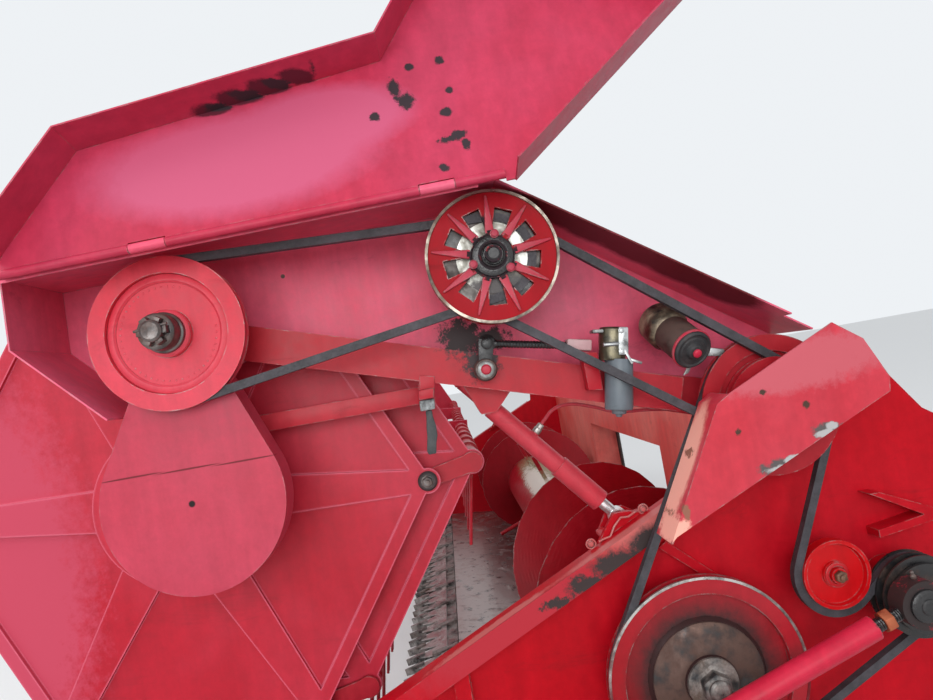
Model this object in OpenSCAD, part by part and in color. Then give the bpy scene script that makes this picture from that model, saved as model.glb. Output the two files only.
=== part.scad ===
// Combine harvester header: a grain cutting platform with its pick-up reel, auger, knife and belt drives.
// +X points to the drive side (left in driving direction), +Y to the rear, +Z up.
// The origin is on the sole of the middle skid, below the auger shaft.

/* [Platform] */
// Clear width between the side walls
cut_w = 3048; // [2438.4:152.4:3657.6]
// Thickness of the sheet steel
sheet_t = 4; // [3:0.5:5]
// Height of the skid soles' steel above the ground side
skid_t = 8; // [6:1:12]
// Height of the trough's underside above the ground
ground_gap = 44; // [36:1:50]

/* [Auger] */
// Radius over the auger flights
flight_r = 278; // [260:1:282]
// Radius of the auger tube
tube_r = 140; // [120:5:160]
// Gap between the flights and the trough
trough_gap = 14; // [10:1:18]
// Length along the tube for one turn of a flight
flight_pitch = 480; // [400:10:560]
// Thickness of the flight sheet, measured round the tube
flight_t = 12; // [8:1:16]
// Radius of the auger's shaft
auger_shaft_r = 30; // [25:1:34]
// Tube rows of retracting fingers on the middle stretch
finger_rows = 4; // [2:1:5]

/* [Floor and rear wall] */
// Distance of the floor's front edge ahead of the auger shaft
floor_front = 480; // [460:5:500]
// Height of the floor's front edge
floor_front_z = 101; // [95:1:105]
// Distance of the floor ridge ahead of the auger shaft
ridge_front = 332; // [320:2:345]
// Height of the floor ridge
ridge_z = 88; // [84:1:92]
// Height of the rear wall's top
wall_top = 740; // [730:2:750]
// Height of the folded top beam's front face
top_beam_h = 135; // [110:5:150]
// Depth of the folded top beam
top_beam_d = 62; // [50:2:70]
// Side of the square lower beam
low_beam = 80; // [70:2:90]
// Half width of the feeder opening
feeder_half_w = 550; // [500:10:600]
// Angle below the auger shaft at which the trough ends and the rear wall starts
trough_end_deg = 40; // [36:1:44]
// Height of the feeder opening's top edge
feeder_top = 605; // [590:5:640]
// Depth of the feeder throat behind the wall
throat_d = 110; // [90:5:130]

/* [Side walls] */
// Distance of the side walls' front edge ahead of the auger shaft
side_front = 640; // [620:5:660]
// Height of the sloping top edge above the auger shaft's line
slope_z0 = 655; // [645:1:665]
// Rise of the top edge for each millimetre to the rear
slope = 0.455; // [0.44:0.005:0.47]
// Width of the box beam along the top edge
rail_w = 50; // [40:2:60]
// Height of the box beam
rail_h = 44; // [36:2:52]
// Distance of the drive-side plate's rear edge behind the auger shaft
plate_rear = 600; // [580:5:620]
// Length of the crop dividers ahead of the side walls
divider_l = 520; // [460:10:600]
// Width of the crop dividers
divider_w = 70; // [60:2:76]

/* [Reel] */
// Distance of the reel shaft ahead of the auger shaft
reel_front = 855; // [845:1:865]
// Height of the reel shaft
reel_z = 819; // [812:1:830]
// Radius of the tine bars' circle
bar_circle_r = 505; // [490:1:508]
// Radius of the tine bars
bar_r = 17; // [14:1:20]
// Radius of the reel tube
reel_tube_r = 57; // [50:1:65]
// Radius of the reel shaft
reel_shaft_r = 22; // [20:1:25]
// Offset of the tine control plate's centre to the front
ecc_front = 96; // [90:1:100]
// Offset of the tine control plate's centre downwards
ecc_down = 17; // [14:1:20]
// Angle of the first tine bar above the line to the rear
bar_angle = -4.9; // [-8:0.1:0]
// Length of the spring tines below their bar
tine_l = 185; // [150:5:190]
// Radius of the tine wire
tine_r = 3.6; // [3:0.1:4.5]
// Distance between the spring tines
tine_pitch = 150; // [145:1:155]
// Tilt of the tines' tips to the front in degrees
tine_tilt = 10; // [6:1:14]
// Height of the pressed ribs of the reel's end plates
rib_h = 9; // [6:1:12]
// Radius of the eccentric ring that guides the control plate
guide_r = 150; // [140:1:160]

/* [Reel arms] */
// Distance of the arm pivot behind the auger shaft
pivot_rear = 207; // [204:1:210]
// Height of the arm pivot
pivot_z = 806; // [803:1:810]
// Distance of the reel drive's upper shaft ahead of the auger shaft
upper_front = 839; // [834:1:844]
// Height of the reel drive's upper shaft
upper_z = 1120; // [1116:1:1124]
// Height of the arm box
arm_h = 66; // [60:1:72]
// Width of the arm box
arm_w = 45; // [40:1:48]
// Radius of the pivot tube
pivot_r = 38; // [34:1:42]

/* [Chain case] */
// Radius of the chain case round the reel shaft
case_r = 164; // [156:1:170]
// Radius of the chain case round the upper shaft
case_top_r = 38; // [34:1:44]
// Thickness of the chain case
case_t = 62; // [56:1:66]

/* [Belts and pulleys] */
// Distance of the reel belt's middle outside the side wall's inner face
belt_a_out = 121; // [119:1:122]
// Sideways distance from one belt to the next
belt_step = 23; // [23:1:24]
// Width of a belt
belt_w = 16; // [14:1:17]
// Thickness of a belt
belt_t = 15; // [12:1:16]
// Radius of the reel pulley under its belt
reel_pulley_r = 118; // [112:1:119]
// Radius of the variator under the reel belt
var_a_r = 64; // [60:1:70]
// Radius of the variator under the second belt
var_b_r = 78; // [72:1:84]
// Outer radius of the variator discs
var_disc_r = 118; // [112:1:122]
// Distance of the variator ahead of the auger shaft
var_front = 258; // [252:1:264]
// Height of the variator
var_z = 1156; // [1150:1:1160]
// Radius of the countershaft's outer sheave under its belt
counter_a_r = 68; // [64:1:74]
// Radius of the countershaft's inner sheave under its belt
counter_b_r = 112; // [106:1:116]
// Radius of the auger pulley under its belt
auger_pulley_r = 166; // [160:1:170]
// Radius of the input pulley under its belt
input_r = 56; // [52:1:58]
// Distance of the input shaft behind the auger shaft
input_rear = 404; // [402:1:408]
// Height of the input shaft
input_z = 420; // [414:1:424]
// Radius of the input shaft
input_shaft_r = 17.5; // [15:0.5:20]
// Radius of the idler
idler_r = 63; // [58:1:64]
// Distance of the idler behind the auger shaft
idler_rear = 267; // [262:1:269]
// Height of the idler
idler_z = 479; // [477:1:484]
// Depth that a pulley's flange stands above its belt
flange_over = 3; // [1:0.5:5]

/* [Belt tray and cover] */
// Distance of the cover's hinge outside the side wall's inner face
hinge_out = 228; // [226:1:232]
// Lean of the open cover past upright, in degrees
cover_lean = 13; // [10:1:16]
// Depth of the cover's flanges
cover_d = 74; // [66:1:76]
// Thickness of the tray and cover sheet
cover_t = 3; // [2:0.5:3.5]
// Radius of the cover's hinge tube
hinge_r = 8; // [7:0.5:9]

/* [Lift cylinders] */
// Distance of the upper pin ahead of the auger shaft
ram_top_front = 305; // [300:1:310]
// Height of the upper pin
ram_top_z = 892; // [886:1:894]
// Distance of the lower pin ahead of the auger shaft
ram_low_front = 86; // [80:1:92]
// Height of the lower pin
ram_low_z = 628; // [624:1:634]
// Distance of the cylinder inside the side wall's inner face
ram_in = 38; // [37:1:39]
// Radius of the barrel
ram_r = 19; // [17:1:20]
// Radius of the rod
ram_rod_r = 11; // [9:0.5:13]

/* [Knife] */
// Distance from one knife section and finger to the next
finger_pitch = 76.2; // [50.8:12.7:88.9]
// Slope of the cutter bar in degrees
bar_slope = 10.4; // [9:0.1:12]
// Length of the fingers ahead of the bar
finger_l = 106; // [96:2:112]
// Arm length of the knife lever
lever_l = 85; // [83:1:87]

/* [Hidden] */
fit = 0.3;
bar_depth = 13;
ram_pin_r = 7;
eye_play = 5.8;
side_x = cut_w / 2;
tine_x = side_x - 174;
wall_out = side_x + sheet_t;
trough_r = flight_r + trough_gap;
auger_z = ground_gap + sheet_t + trough_r - 2;
ridge = [-ridge_front, ridge_z];
front_edge = [-floor_front, floor_front_z];
axle = [0, auger_z];
wall_y = trough_r;
reel_c = [-reel_front, reel_z];
ecc_c = [-reel_front - ecc_front, reel_z - ecc_down];
pivot_c = [pivot_rear, pivot_z];
upper_c = [-upper_front, upper_z];
var_c = [-var_front, var_z];
input_c = [input_rear, input_z];
idler_c = [idler_rear, idler_z];
crank_r = finger_pitch / 2;
crank_angle = 164;
crank_c = input_c + crank_r * [cos(crank_angle), sin(crank_angle)];
rod_phase = 36;
knife_rest = -crank_r * cos(rod_phase);
belt_a_x = side_x + belt_a_out;
belt_b_x = belt_a_x - belt_step;
belt_c_x = belt_b_x - 22;
crank_x = belt_b_x + 52;
hinge_x = side_x + hinge_out;
arm_x0 = side_x - 11;
arm_x1 = arm_x0 + arm_w;
case_x0 = arm_x1;
case_x1 = case_x0 + case_t;
tray_x = side_x - 51;
tray_edge = side_x + 144;
control_x = side_x - 86;
inner_x = side_x - 126;
link_x = inner_x + 14;
ram_x = side_x - ram_in;
arm_dir = atan2(upper_z - pivot_z, -upper_front - pivot_rear);
arm_l = norm(upper_c - pivot_c);
// Rear end of the cover's hinge, the hinge's length and its rise to the rear
hinge_c = [-223, 1272];
hinge_l = 824;
hinge_rise = 1.95;
section_t = 3;
ram_top = [-ram_top_front, ram_top_z];
ram_low = [-ram_low_front, ram_low_z];
ram_l = norm(ram_low - ram_top);
ram_dir = atan2(ram_low[1] - ram_top[1], ram_low[0] - ram_top[0]);
low_beam_y = wall_y - 52;
low_beam_z = ground_gap + sheet_t;
post_y = wall_y + sheet_t;
post_w = 60;
trough_end_z = auger_z - trough_r * sin(trough_end_deg);
lock_x = 600;
lock_c = [low_beam_y + low_beam + 55, low_beam_z + 28];
shaft_r = 24;
counter_shaft_r = 15;
stub_x = 640;
lever_x = side_x + 70;
lever_y = 30;
lever_angle = asin(knife_rest / lever_l);
finger_n = floor(cut_w / finger_pitch + 0.5);
bar_count = 6;
gear_clear = 0.7;
crank_pin_r = 14;
crank_disc_r = 62;
crank_disc_x = belt_b_x + 24;
lug_clear = 10;
skid_w = 90;
skid_leg = 40;
skid_front = -440;
skid_rear = 210;
// Corners of the belt tray, and the fixed knuckles of its hinge from the hinge's rear end
tray_front = [-1098, 1260];
tray_apex = [-230, 1290];
tray_rear = [297, 932];
tray_low_front = [-1101, 1134];
tray_low = [-941, 971];
knuckles = [-587, -113];
// Outline of the cover: [along the hinge to the rear, away from the hinge]
cover_line = [[-hinge_l, 20], [-813, 37], [-686, 194], [-161, 253], [-79, 367], [-20, 455], [400, 280], [14, -14]];
// Speed adjuster: rocker pin, rod joint and the motor's upper end
rocker_c = [-300, 961];
joint_c = [-290, 1009];
motor_top = [-51.5, 937];
motor_r = 26;
motor_l = 94;
// Folds of the belt guard: upper rear corner of its front edge, and its lower rear corner
guard_front = [[88, 850], [65, 837], [-54, 621]];
guard_rear = [[362, 806], [366, 831], [333, 902]];

// A side-view outline [rear, up] as a plate between two places across the platform
module plate(points, x0, x1) {
    translate([x0, 0, 0]) rotate([90, 0, 90]) linear_extrude(height = x1 - x0) polygon(points);
}

// The same line, moved square to itself; a positive distance moves it to its left
function way(p, q) = (q - p) / norm(q - p);
function left_of(v) = [-v[1], v[0]];
function shifted(line, d) = [for (i = [0 : len(line) - 1]) let (
    a = i > 0 ? way(line[i - 1], line[i]) : way(line[0], line[1]),
    b = i < len(line) - 1 ? way(line[i], line[i + 1]) : a
) line[i] + d * (left_of(a) + left_of(b)) / (1 + a * b)];

// A folded strip of sheet along a side-view line
module strip(line, t, x0, x1) {
    plate(ring(line, shifted(line, t)), x0, x1);
}

// Any side-view shape as a plate between two places across the platform
module slab(x0, x1) {
    translate([x0, 0, 0]) rotate([90, 0, 90]) linear_extrude(height = x1 - x0) children();
}

// A round bar across the platform, at a side-view place
module cross_bar(c, r, x0, x1, facets = 48) {
    translate([x0, c[0], c[1]]) rotate([0, 90, 0]) cylinder(h = x1 - x0, r = r, $fn = facets);
}

// A turned piece across the platform; its profile is [radius, place across]
module turned(c, profile) {
    translate([0, c[0], c[1]]) rotate([0, 90, 0]) rotate_extrude($fn = 96) polygon(profile);
}

// The same piece on the other side of the platform
module other_side() {
    mirror([1, 0, 0]) children();
}

// A box between two corners
module block(a, b) {
    translate(a) cube(b - a);
}

function unit(a) = [cos(a), sin(a)];
function slope_z(y) = slope_z0 + slope * y;
// Side-view arc points round a centre
function arc(c, r, a0, a1, n) = [for (i = [0 : n]) c + r * unit(a0 + (a1 - a0) * i / n)];
// Closed outline of a sheet that follows a line of points, shifted from one radius to another
function ring(outer, inner) = concat(outer, [for (i = [len(inner) - 1 : -1 : 0]) inner[i]]);

// Belt path. Each wheel is [centre, radius of the belt's middle, side]: side 1 lies inside the loop, -1 outside.
function tangent_angle(p, q) = let (d = q[0] - p[0], l = norm(d), k = p[2] * p[1] - q[2] * q[1])
    atan2(d[1], d[0]) - acos(k / l);
function turn(a, b) = b - a - 360 * floor((b - a) / 360);
function wheel_arc(before, at, after, shift) = let (
    a0 = tangent_angle(before, at),
    a1 = tangent_angle(at, after),
    sweep = at[2] > 0 ? turn(a0, a1) : -turn(a1, a0),
    start = at[2] > 0 ? a0 : a0 + 180,
    steps = max(1, ceil(abs(sweep) / 8))
) arc(at[0], at[1] + at[2] * shift, start, start + sweep, steps);
function belt_path(wheels, shift) = let (n = len(wheels)) [
    for (i = [0 : n - 1]) each wheel_arc(wheels[(i + n - 1) % n], wheels[i], wheels[(i + 1) % n], shift)
];

module belt(wheels, x) {
    slab(x - belt_w / 2, x + belt_w / 2) difference() {
        polygon(belt_path(wheels, belt_t / 2));
        polygon(belt_path(wheels, -belt_t / 2));
    }
}

function grooved(r, x, over) = let (w = belt_w / 2 + 1, o = r + belt_t + over) [
    [r - gear_clear - 12, x - w - 4], [o, x - w - 4], [o, x - w], [r - gear_clear, x - w],
    [r - gear_clear, x + w], [o, x + w], [o, x + w + 4], [r - gear_clear - 12, x + w + 4]
];

// Platform

function trough_line(shift) = let (
    r = trough_r + shift,
    d = norm(ridge - axle),
    a = atan2(ridge[1] - axle[1], ridge[0] - axle[0]),
    touch = a + acos(trough_r / d)
) concat([front_edge - [0, shift], ridge - [0, shift]], arc(axle, r, touch, -trough_end_deg, 12));

module floor_trough() {
    color("firebrick") {
        plate(ring(trough_line(sheet_t), trough_line(0)), -side_x, side_x);
        plate([front_edge + [0, -sheet_t], front_edge + [26, -sheet_t], front_edge + [26, -34],
            front_edge + [20, -34], front_edge + [20, -sheet_t - 6], front_edge + [0, -sheet_t - 6]],
            -side_x, side_x);
    }
}

module rear_wall() {
    line = concat(arc(axle, trough_r, -trough_end_deg, 0, 5), [[wall_y, wall_top]]);
    back = concat(arc(axle, trough_r + sheet_t, -trough_end_deg, 0, 5), [[wall_y + sheet_t, wall_top]]);
    color("firebrick") difference() {
        plate(ring(back, line), -side_x, side_x);
        block([-feeder_half_w, 0, 0], [feeder_half_w, wall_y + 20, feeder_top]);
    }
}

module rear_frame() {
    beam_y = post_y + top_beam_d;
    color("indianred") difference() {
        block([-side_x, post_y, wall_top - top_beam_h], [side_x, beam_y, wall_top]);
        block([-side_x - 1, post_y + sheet_t, wall_top - top_beam_h + sheet_t],
            [side_x + 1, beam_y - sheet_t, wall_top - sheet_t]);
    }
    color("firebrick") {
        block([-side_x, low_beam_y, low_beam_z], [side_x, low_beam_y + low_beam, low_beam_z + low_beam]);
        for (x = [-side_x, -feeder_half_w - post_w - 10, feeder_half_w + 10, side_x - post_w]) {
            block([x, post_y, low_beam_z + low_beam], [x + post_w, post_y + post_w, wall_top - top_beam_h]);
        }
        for (s = [-1, 1]) {
            block([s * (feeder_half_w + 5) - 5, post_y, trough_end_z],
                [s * (feeder_half_w + 5) + 5, post_y + throat_d, wall_top - top_beam_h]);
            difference() {
                block([s * lock_x - 8, low_beam_y + low_beam, low_beam_z],
                    [s * lock_x + 8, low_beam_y + low_beam + 90, low_beam_z + 60]);
                cross_bar(lock_c, 13, s * lock_x - 20, s * lock_x + 20);
            }
        }
        difference() {
            plate([[post_y + post_w, input_z - 40], [input_rear + 30, input_z - 40], [input_rear + 42, input_z],
                [input_rear + 30, input_z + 40], [post_y + post_w, input_z + 60]], stub_x + 86, stub_x + 98);
            cross_bar(input_c, shaft_r + fit, stub_x + 60, stub_x + 120);
        }
        block([stub_x + 86, post_y, input_z - 60], [stub_x + 98, post_y + post_w, input_z + 70]);
        block([feeder_half_w + 10, post_y, input_z + 20], [stub_x + 98, post_y + 10, input_z + 70]);
    }
}

module throat_seal() {
    y0 = post_y + throat_d;
    w = feeder_half_w + 10;
    h = wall_top - top_beam_h - trough_end_z;
    color("black") translate([0, y0 + 8, 0]) rotate([90, 0, 0]) linear_extrude(height = 8) difference() {
        translate([-w, trough_end_z]) square([2 * w, h]);
        translate([-w + 50, trough_end_z + 50]) square([2 * w - 100, h - 100]);
    }
}

// Side walls

module wall_front_outline() {
    polygon([[-side_front, 62], [-side_front, slope_z(-side_front)], [pivot_rear - 75, slope_z(pivot_rear - 75)],
        [pivot_rear - 58, pivot_z + 62], [pivot_rear + 50, pivot_z + 62], [wall_y + 8, wall_top],
        [post_y + post_w, wall_top], [post_y + post_w, ground_gap], [-80, ground_gap], [-floor_front, 62]]);
}

module drive_plate_outline() {
    polygon([[pivot_rear + 50, pivot_z + 62], [pivot_rear + 271, pivot_z + 19], [pivot_rear + 333, pivot_z - 69],
        [plate_rear, pivot_z - 110], [plate_rear, 130], [plate_rear - 170, ground_gap], [wall_y, ground_gap], [wall_y, pivot_z - 60]]);
}

module side_rail() {
    y0 = -side_front;
    y1 = pivot_rear - 90;
    plate([[y0, slope_z(y0) - rail_h], [y1, slope_z(y1) - rail_h], [y1, slope_z(y1)], [y0, slope_z(y0)]],
        wall_out, wall_out + rail_w);
    plate([[-460, 132], [-430, 132], [-430, slope_z(-430) - rail_h], [-460, slope_z(-460) - rail_h]], wall_out, wall_out + 30);
}

// Height over the auger shaft at which a piece inside the wall clears the flights
function over_flights(y) = auger_z + sqrt(pow(flight_r + lug_clear, 2) - y * y);

module ram_lug() {
    front = ram_low[0] - 44;
    rear = ram_low[0] + 46;
    web = 14;
    top = [ram_low + [16, 14], ram_low + [-16, 14]];
    plate(concat([[front - 26, slope_z(front - 26) - 14], [rear + 14, slope_z(rear + 14) - 14]], top), side_x - 12, side_x);
    plate(concat([[front, over_flights(front)], [rear, over_flights(rear)]], top), ram_x - 24, ram_x - 18);
    for (y = [front, rear - web]) {
        plate([[y, over_flights(y)], [y + web, over_flights(y + web)], [y + web, over_flights(y + web) + 6], [y, over_flights(y) + 6]],
            ram_x - 24, side_x);
    }
    cross_bar(ram_low, ram_pin_r, ram_x - 28, side_x);
}

module pivot_tube() {
    cross_bar(pivot_c, pivot_r, side_x - 38, wall_out + 20);
    cross_bar(pivot_c, pivot_r + 16, wall_out, wall_out + 10);
}

module side_wall_right() {
    color("firebrick") other_side() difference() {
        union() {
            slab(side_x, wall_out) wall_front_outline();
            side_rail();
            ram_lug();
            pivot_tube();
            cross_bar(axle, 55, wall_out, wall_out + 26);
        }
        cross_bar(axle, auger_shaft_r + fit, side_x - 10, wall_out + 40);
    }
}

module side_wall_left() {
    color("firebrick") difference() {
        union() {
            slab(side_x, wall_out) {
                wall_front_outline();
                drive_plate_outline();
            }
            side_rail();
            ram_lug();
            pivot_tube();
            cross_bar(axle, 55, wall_out, wall_out + 26);
            cross_bar(input_c, 50, wall_out, wall_out + 22);
            cross_bar(idler_c, 14, wall_out, belt_c_x - 12 - fit);
            cross_bar(idler_c, 30, wall_out, wall_out + 16);
        }
        cross_bar(axle, auger_shaft_r + fit, side_x - 10, wall_out + 40);
        cross_bar(input_c, shaft_r + fit, side_x - 10, wall_out + 40);
        cross_bar(pivot_c, counter_shaft_r + fit, side_x - 60, wall_out + 40);
        block([side_x - 1, -620, 66], [wall_out + 1, -496, 112]);
    }
}

function divider_line() = [[-side_front, 60], [-side_front, slope_z(-side_front)],
    [-side_front - 0.55 * divider_l, 215], [-side_front - divider_l, 96], [-side_front - divider_l, 60]];

module divider_body() {
    intersection() {
        plate(divider_line(), side_x, side_x + divider_w);
        linear_extrude(height = wall_top) polygon([[side_x, -side_front], [side_x + divider_w, -side_front],
            [side_x + divider_w, -side_front - 0.5 * divider_l], [side_x + 0.5 * divider_w + 8, -side_front - divider_l],
            [side_x + 0.5 * divider_w - 8, -side_front - divider_l], [side_x, -side_front - 0.5 * divider_l]]);
    }
}

module divider_left() {
    color("crimson") divider_body();
}

module divider_right() {
    color("crimson") other_side() divider_body();
}

module skid_shoe(x) {
    plate([[skid_front - 60, 40], [skid_front, 0], [skid_rear, 0], [skid_rear + 40, 34], [skid_rear + 34, 40],
        [skid_rear - 4, skid_t], [skid_front + 4, skid_t], [skid_front - 52, 46]], x - skid_w / 2, x + skid_w / 2);
    leg_y = ridge[0] - 1.7 * skid_leg;
    plate([[leg_y, skid_t], [leg_y + skid_leg, skid_t], [leg_y + skid_leg, floor_under(leg_y + skid_leg)],
        [leg_y, floor_under(leg_y)]], x - skid_leg / 2, x + skid_leg / 2);
    difference() {
        block([x - skid_leg / 2, skid_leg / 2, skid_t], [x + skid_leg / 2, 1.5 * skid_leg, ground_gap + skid_leg / 2]);
        cross_bar(axle, trough_r + sheet_t + fit, x - skid_leg, x + skid_leg, 96);
    }
}

// Height just under the floor sheet on its front slope
function floor_under(y) = front_edge[1] - sheet_t - 2 * fit
    + (ridge[1] - front_edge[1]) * (y - front_edge[0]) / (ridge[0] - front_edge[0]);

module skids() {
    color("dimgray") for (x = [-side_x + 260, 0, side_x - 260]) skid_shoe(x);
}

// Cutter bar

module tilted() {
    translate([0, front_edge[0], front_edge[1]]) rotate([bar_slope, 0, 0]) children();
}

module finger() {
    w = 11;
    tip = 74 + finger_l;
    translate([0, 0, -bar_depth]) linear_extrude(height = bar_depth - 0.5) polygon([[-w, -73], [w, -73], [w, -110], [w * 0.8, -146],
        [2, -tip], [-2, -tip], [-w * 0.8, -146], [-w, -110]]);
    translate([0, 0, -0.6]) linear_extrude(height = 8) polygon([[-w * 0.8, -146], [w * 0.8, -146], [2, -tip], [-2, -tip]]);
    translate([0, 0, section_t + 0.6]) linear_extrude(height = 5) polygon([[-w * 0.7, -116], [w * 0.7, -116],
        [w * 0.8, -147], [-w * 0.8, -147]]);
}

module cutter_fingers() {
    color("gray") tilted() {
        block([-side_x, -74, -bar_depth], [side_x, -bar_depth * tan(bar_slope) - 2 * fit, -0.5]);
        for (i = [0 : finger_n - 1]) translate([-side_x + finger_pitch * (i + 0.5), 0, 0]) finger();
        for (i = [1 : 3 : finger_n - 1]) translate([-side_x + finger_pitch * i, 0, 0]) {
            block([-14, -88, section_t + 3.6], [14, -4, section_t + 8]);
            block([-14, -34, -0.6], [14, -4, section_t + 4]);
        }
    }
}

module knife() {
    half = finger_pitch / 2 - 0.5;
    color("silver") tilted() translate([knife_rest, 0, 0]) {
        block([-side_x + finger_pitch / 2 + 10, -60, 0], [lever_x + 12, -40, section_t + 3]);
        translate([lever_x, -50, 0]) cylinder(h = 30, r = 8, $fn = 48);
        for (i = [1 : finger_n - 1]) translate([-side_x + finger_pitch * i, 0, -0.2]) {
            linear_extrude(height = section_t) polygon([[-half, -60], [half, -60], [half, -72], [9, -134], [-9, -134], [-half, -72]]);
        }
    }
}

module knife_lever() {
    color("firebrick") tilted() translate([lever_x, lever_y, 12]) rotate([0, 0, lever_angle]) difference() {
        union() {
            cylinder(h = 14, r = 22, $fn = 48);
            translate([-11, -lever_l + 8, 0]) cube([22, lever_l - 8, 12]);
            translate([0, -11, 0]) cube([lever_l, 22, 12]);
            translate([0, -lever_l, 0]) cylinder(h = 12, r = 22, $fn = 48);
            translate([lever_l, 0, 0]) cylinder(h = 12, r = 16, $fn = 48);
            translate([lever_l, 0, 0]) cylinder(h = 40, r = 8, $fn = 48);
        }
        translate([0, 0, -1]) cylinder(h = 20, r = 10 + fit, $fn = 48);
        translate([0, -lever_l, -1]) cylinder(h = 20, r = 14, $fn = 48);
    }
}

// Drive brackets on the side wall

module panel_brackets() {
    color("firebrick") {
        plate([[-30, 566], [-14, 576], [78, 492], [68, 478]], wall_out, wall_out + 12);
        plate([[380, 600], [400, 600], [510, 548], [500, 530]], wall_out, wall_out + 40);
        plate([[384, 515], [500, 530], [508, 548], [384, 530]], wall_out, wall_out + 40);
        tilted() {
            block([wall_out, lever_y - 26, 0], [lever_x + 26, lever_y + 26, 11.6]);
            translate([lever_x, lever_y, 0]) cylinder(h = 30, r = 10, $fn = 48);
        }
    }
}

module belt_shield() {
    x0 = side_x + 112;
    x1 = side_x + 192;
    color("indianred") {
        slab(x1, x1 + sheet_t) polygon(concat([guard_front[0], [285, 938], guard_rear[2], guard_rear[1], guard_rear[0], [-43, 631]],
            [guard_front[2], guard_front[1]]));
        strip(guard_front, sheet_t, x0, x1);
        strip(guard_rear, sheet_t, x0, x1);
        strip([guard_rear[0], guard_rear[1]], sheet_t, wall_out, x0);
    }
}

// Belt runs

function wheels_reel() = [[upper_c, reel_pulley_r + belt_t / 2, 1], [var_c, var_a_r + belt_t / 2, 1]];
function wheels_variator() = [[var_c, var_b_r + belt_t / 2, 1], [pivot_c, counter_a_r + belt_t / 2, 1]];
function wheels_main() = [[axle, auger_pulley_r + belt_t / 2, 1], [input_c, input_r + belt_t / 2, 1],
    [idler_c, idler_r + belt_t / 2 + fit, -1], [pivot_c, counter_b_r + belt_t / 2, 1]];

module belt_reel() {
    color("darkslategray") belt(wheels_reel(), belt_a_x);
}

module belt_variator() {
    color("darkslategray") belt(wheels_variator(), belt_b_x);
}

module belt_main() {
    color("darkslategray") belt(wheels_main(), belt_c_x);
}

// Pulleys

module reel_pulley() {
    x = belt_a_x;
    color("crimson") {
        turned(upper_c, grooved(reel_pulley_r, x, flange_over - 1));
        turned(upper_c, [[20, x - 4], [reel_pulley_r - 12, x - 4], [reel_pulley_r - 12, x + 2], [42, x + 2],
            [42, x + 12], [20, x + 12]]);
    }
    color("dimgray") {
        cross_bar(upper_c, 22, case_x1 - 40, x + 34);
        cross_bar(upper_c, 30, x + 34, x + 56, 6);
        cross_bar(upper_c, 18, x + 56, x + 80);
    }
}

module disc_window(n, r0, r1, w0, w1) {
    for (i = [0 : n - 1]) rotate([0, 0, 87 + 360 * (i + 0.5) / n]) polygon([[r0, -w0], [r1, -w1], [r1, w1], [r0, w0]]);
}

module variator() {
    hole = 18;
    xa = belt_a_x;
    xb = belt_b_x;
    w = belt_w / 2 + 1;
    color("crimson") difference() {
        union() {
            turned(var_c, [[hole, xa + w], [var_disc_r, xa + w], [var_disc_r, xa + w + 6], [60, xa + w + 6],
                [44, xa + w + 12], [hole, xa + w + 12]]);
            disc(hole, var_disc_r - 6, xb + w, xa - w);
            disc(hole, var_disc_r, xb - w - 6, xb - w);
            disc(hole, var_a_r - gear_clear, xa - w - 0.5, xa + w + 0.5);
            disc(hole, var_b_r - gear_clear, xb - w - 0.5, xb + w + 0.5);
        }
        slab(xa + w - 6, xa + w + 20) translate(var_c) disc_window(9, 39, 86, 10, 16);
    }
    color("black") {
        cross_bar(var_c, 20, tray_x + 10, xa + w + 14);
        cross_bar(var_c, 26, xa + w + 12, xa + w + 20);
        cross_bar(var_c, 15, xa + w + 20, xa + w + 38);
    }
}

// A flat disc of the variator with its hole
module disc(hole, r, x0, x1) {
    turned(var_c, [[hole, x0], [r, x0], [r, x1], [hole, x1]]);
}

module countershaft() {
    w = belt_w / 2 + 1;
    rim = counter_a_r + belt_t + 5;
    color("crimson") {
        turned(pivot_c, grooved(counter_b_r, belt_c_x, flange_over));
        turned(pivot_c, [[13, belt_c_x - 6], [counter_b_r - 12, belt_c_x - 6], [counter_b_r - 12, belt_c_x + 6], [13, belt_c_x + 6]]);
        turned(pivot_c, [[13, belt_c_x], [counter_a_r - gear_clear, belt_c_x], [counter_a_r - gear_clear, belt_b_x - w - 2],
            [rim, belt_b_x - w - 2], [rim, belt_b_x - w], [counter_a_r - gear_clear, belt_b_x - w],
            [counter_a_r - gear_clear, belt_b_x + w], [rim, belt_b_x + w], [rim, belt_b_x + w + 5], [13, belt_b_x + w + 5]]);
    }
    color("dimgray") {
        cross_bar(pivot_c, counter_shaft_r, side_x - 36, belt_b_x + 36);
        cross_bar(pivot_c, 26, wall_out + 20 + fit, belt_c_x);
    }
}

module idler_pulley() {
    x = belt_c_x;
    color("red") turned(idler_c, [[12, x - 12], [24, x - 12], [24, x - 3], [idler_r - 9, x - 3], [idler_r - 9, x - 11],
        [idler_r, x - 11], [idler_r, x + 13], [idler_r - 7, x + 13], [idler_r - 9, x + 3], [24, x + 3], [24, x + 10],
        [12, x + 10]]);
    color("dimgray") cross_bar(idler_c, 14, x - 12, x + 20);
}

module auger_pulley() {
    x = belt_c_x;
    color("crimson") {
        turned(axle, grooved(auger_pulley_r, x, flange_over));
        turned(axle, [[auger_shaft_r + fit, x - 6], [auger_pulley_r - 12, x - 6], [auger_pulley_r - 12, x], [110, x], [104, x + 8],
            [48, x + 8], [48, x + 26], [auger_shaft_r + fit, x + 26]]);
    }
    color("dimgray") turned(axle, [[auger_shaft_r + fit, wall_out + 28], [44, wall_out + 28], [44, x], [auger_shaft_r + fit, x]]);
}

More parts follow.
